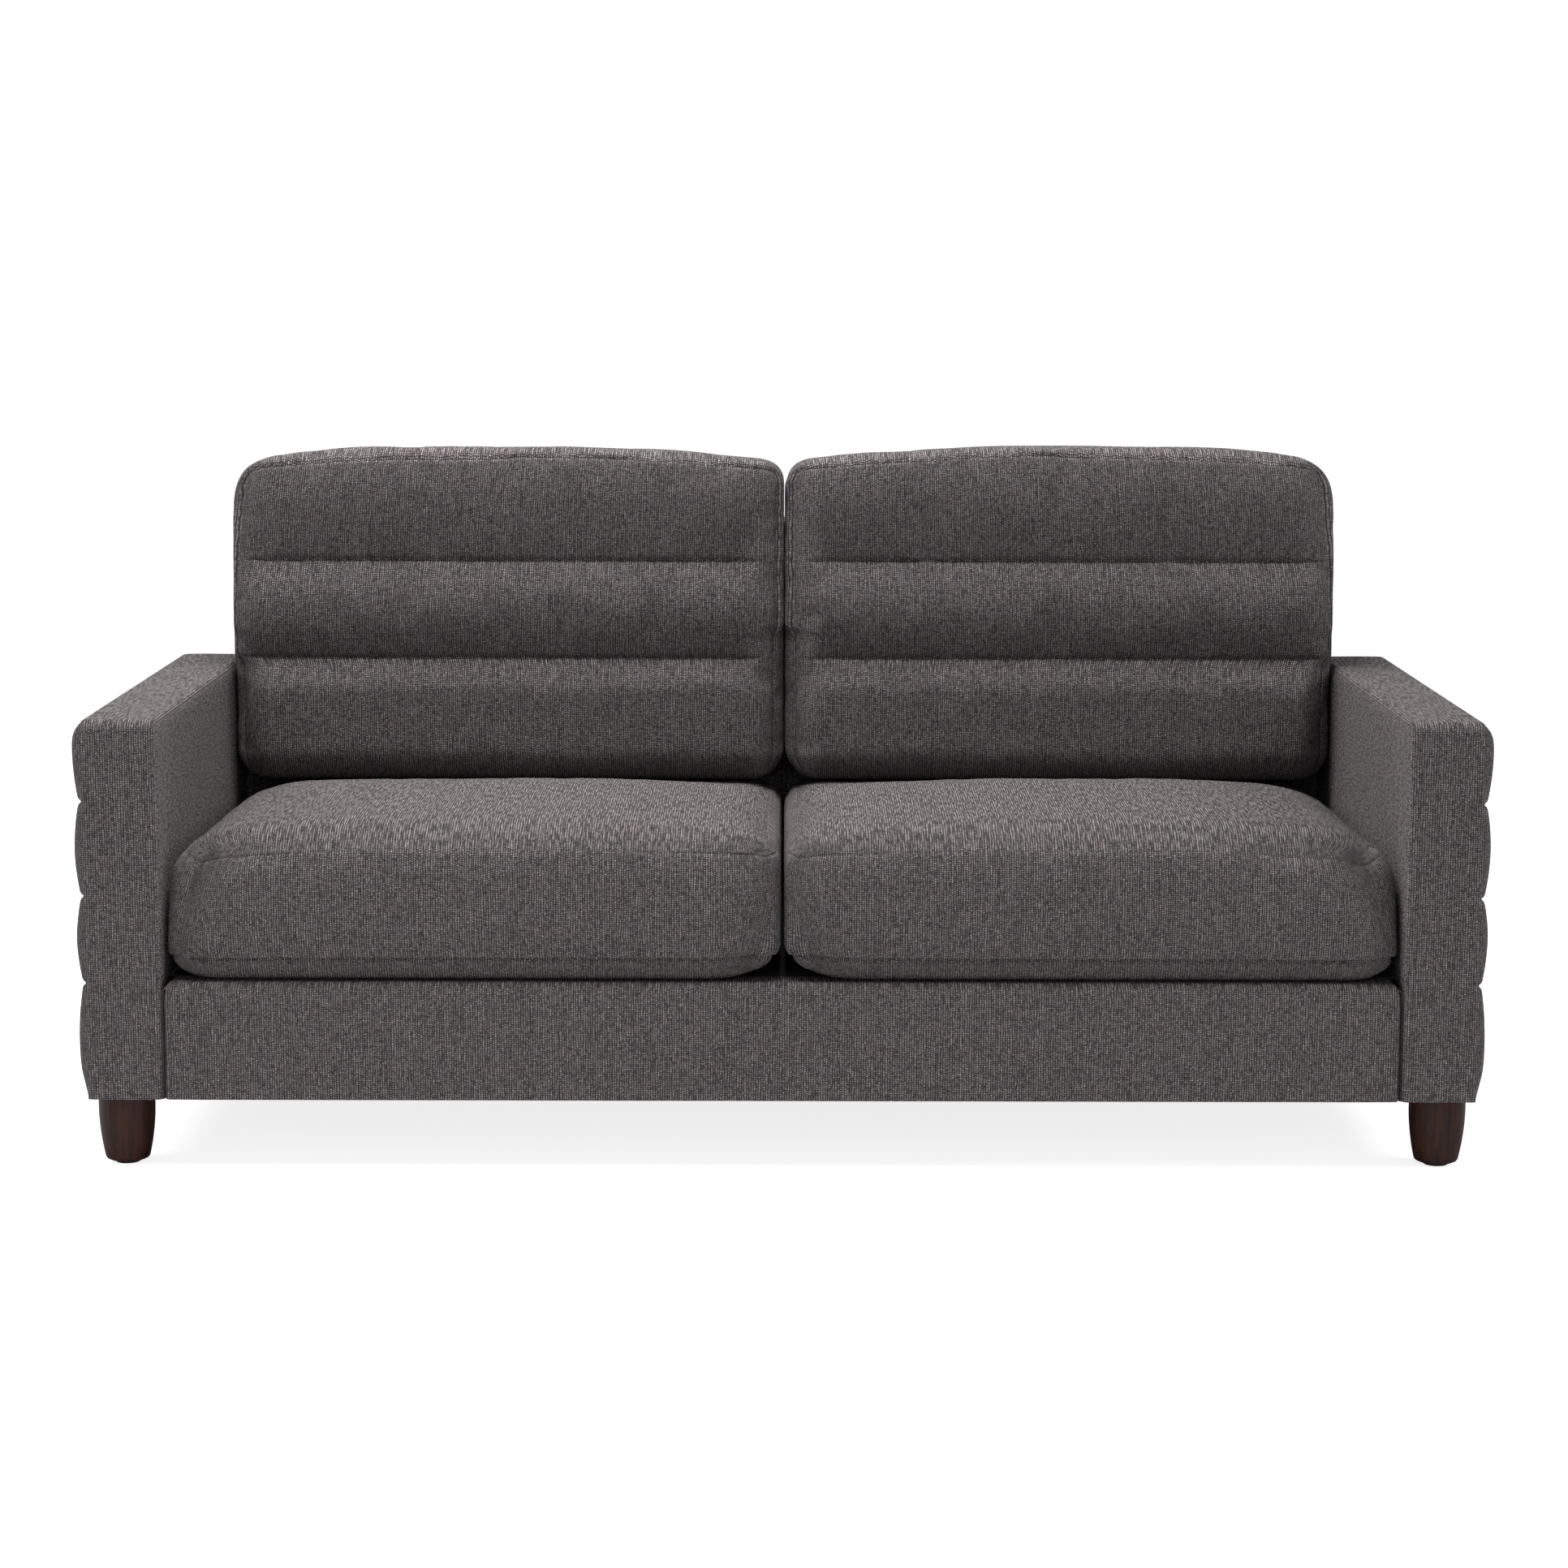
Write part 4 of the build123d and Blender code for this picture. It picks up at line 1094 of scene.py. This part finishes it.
for name, side in sides.items():
    box_low, box_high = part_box(f"back_cushion_{name}")
    channel_edges = (box_low.z - back_past_foot,) + back_seams + (box_high.z + back_past_top,)
    half = (box_high.x - box_low.x) / 2
    centre = (box_high.x + box_low.x) / 2
    inner_edge = back_inner_edges[name]

    def back_form(x, depth, z):
        high_radii = back_high_radii["outer" if (x - centre) * side > 0 else "inner"]
        point = softened(
            (x - centre, depth, z),
            (-half, 0, box_low.z + back_clearance),
            (half, back_depth, box_high.z),
            high_radii if z > 0.7 else back_low_radii,
        )
        outward = point[0] * side
        inset = {"outer": half - outward, "inner": half + outward}
        number, share, near = in_channel(point[2], channel_edges)
        full = (1 - abs(2 * max(share, 0) ** back_swell_lean - 1) ** 2.1) * back_swells[number]
        sewn = min(ease((inset[end] - seam_end_insets[end]) / 0.03) for end in inset)
        front = ease(1 - point[1] / 0.05)
        draw = 1 - ease(min(inset.values()) / 0.06)
        out = between(back_unsewn_swell, full, sewn) * (1 - 0.55 * draw) - back_edge_set * draw
        out *= front
        out += unevenness(point[0], side, point[2], 0.12, 0.003) * front
        out += unevenness(point[0] * 3, side, point[2] * 0.7, 0.05, 0.0012) * front * groove(near, 0.03)
        fall = back_end_drop * abs(point[0] / half) ** 2.4 + back_top_sinks[name]
        fall += back_inner_falls[name] * ease(-outward / half / 0.6)
        z = point[2] - fall * ease((point[2] - back_shoulder) / 0.14)
        z += unevenness(point[0], side, 0, 0.15, 0.0035) * ease((point[2] - 0.9) / 0.09)
        gap = inner_edge + side * back_clearance * ease((point[2] - 0.86) / 0.1)
        x = side * between(gap, outer_edge(point[2]) - back_clearance, (outward + half) / (2 * half))
        return (x, inside_back_y(z) - back_front_gap + point[1] - out, z)

    across = edged_lines(box_low.x, box_high.x, 0.014, 0.002)
    depths = edged_lines(0, back_depth, 0.014, 0.002)
    along = lines(box_low.z, box_high.z, 0.012, back_seams + (box_low.z, box_high.z), 0.002)
    piece = sewn_form(f"back_cushion_cloth_{name}", across, depths, along, back_form)

    def back_ends(x):
        """How far a place is inside the sewn length of the channel seams."""
        outward = (x - centre) * side
        return min(half - outward - seam_end_insets["outer"], half + outward - seam_end_insets["inner"])

    def back_rim(x, depth, z):
        """How far a place is from the boxing seam round the front panel."""
        return math.hypot(max(min(box_high.x - x, x - box_low.x, box_high.z - z), 0), depth)

    def back_seam(x, depth, z):
        """How deep a seam lies: the boxing seam, and the two across the channels."""
        valley = back_boxing_valley * groove(back_rim(x, depth, z), back_valley_width)
        if depth < on_line:
            near = in_channel(z, channel_edges)[2]
            pull = 1 + 0.5 * noise.noise(Vector((x / 0.03, box_low.x, z / 0.2)))
            pull *= ease(back_ends(x) / 0.012)
            valley += back_channel_valley * groove(near, back_valley_width) * pull
        return valley

    def back_held(x, depth, z):
        """True where the case can't swell: its back, its foot and its seams."""
        sewn = depth < on_line and in_channel(z, channel_edges)[2] < on_line and back_ends(x) > 0
        sewn = sewn or back_rim(x, depth, z) < on_line
        return depth > back_held_depth or z < box_low.z + back_held_foot or sewn

    reach = box_high + Vector((back_reaches[name], 0, 0))
    stuffed(piece, back_held, back_seam, box_low, reach, back_stuffing_move)
    fit(piece, woven_chenille, f"back_cushion_{name}", "upholstery", f"back_cushion_{name}")

# Studio: a white sweep under broad soft lamps, seen by a long lens from a little above the back.
lens = 81.56
sensor_width = 36.0
camera_place = (0.0, -5.381, 1.277)
camera_pitch = 8.3
camera_roll = 0.13
camera = placed("camera", bpy.data.cameras.new("camera"))
camera.data.sensor_width = sensor_width
camera.data.lens = lens
camera.location = camera_place
camera.rotation_euler = (math.radians(90 - camera_pitch), math.radians(-camera_roll), 0)
bpy.context.scene.camera = camera

floor_mesh = bpy.data.meshes.new("floor")
floor_half = 30.0
floor_glow = 0.82
corners = [(x * floor_half, y * floor_half, 0) for x, y in ((-1, -1), (1, -1), (1, 1), (-1, 1))]
floor_mesh.from_pydata(corners, [], [(0, 1, 2, 3)])
floor = placed("floor", floor_mesh)
# White painted floor: matt, and glowing a little towards the camera, so that it meets the white behind.
white_floor, tree, surface = new_material("white_painted_floor")
path = add(tree, "LightPath", {})
glow = {0: path.outputs["Is Camera Ray"], 1: floor_glow}
set_inputs(
    tree,
    surface,
    {
        "Base Color": linear("#f2f2f2"),
        "Roughness": 0.9,
        "Specular IOR Level": 0.1,
        "Emission Color": linear("#ffffff"),
        "Emission Strength": add(tree, "Math", glow, operation="MULTIPLY").outputs[0],
    },
)
floor_mesh.materials.append(white_floor)

world = bpy.data.worlds.new("studio")
world.use_nodes = True
bpy.context.scene.world = world
tree = world.node_tree
path = add(tree, "LightPath", {})
shades = {"Factor": path.outputs["Is Camera Ray"], 6: linear("#88888e"), 7: linear("#ffffff")}
sky = add(tree, "Mix", shades, data_type="RGBA")
tree.links.new(sky.outputs[2], tree.nodes["Background"].inputs["Color"])
tree.nodes["Background"].inputs["Strength"].default_value = 1.0

lamps = {
    "overhead": ((-0.45, -0.2, 3.3), (2.6, 1.6), 156.0, (-0.4, -0.2, 0.0)),
    "front_fill": ((0.0, -5.2, 1.7), (4.0, 2.4), 26.5, (0.0, 0.0, 0.5)),
    "side_left": ((-3.5, -0.5, 2.6), (2.0, 1.2), 41.0, (-0.2, -0.2, 0.45)),
    "side_right": ((3.5, -0.5, 2.5), (2.0, 1.2), 52.0, (0.2, -0.2, 0.45)),
}
for name, (place, size, power, target) in lamps.items():
    lamp = bpy.data.lights.new(name, "AREA")
    lamp.shape = "RECTANGLE"
    lamp.size, lamp.size_y = size
    lamp.energy = power
    holder = placed(name, lamp)
    holder.location = place
    holder.rotation_euler = (Vector(target) - Vector(place)).to_track_quat("-Z", "Y").to_euler()
bpy.context.scene.view_settings.view_transform = "Standard"
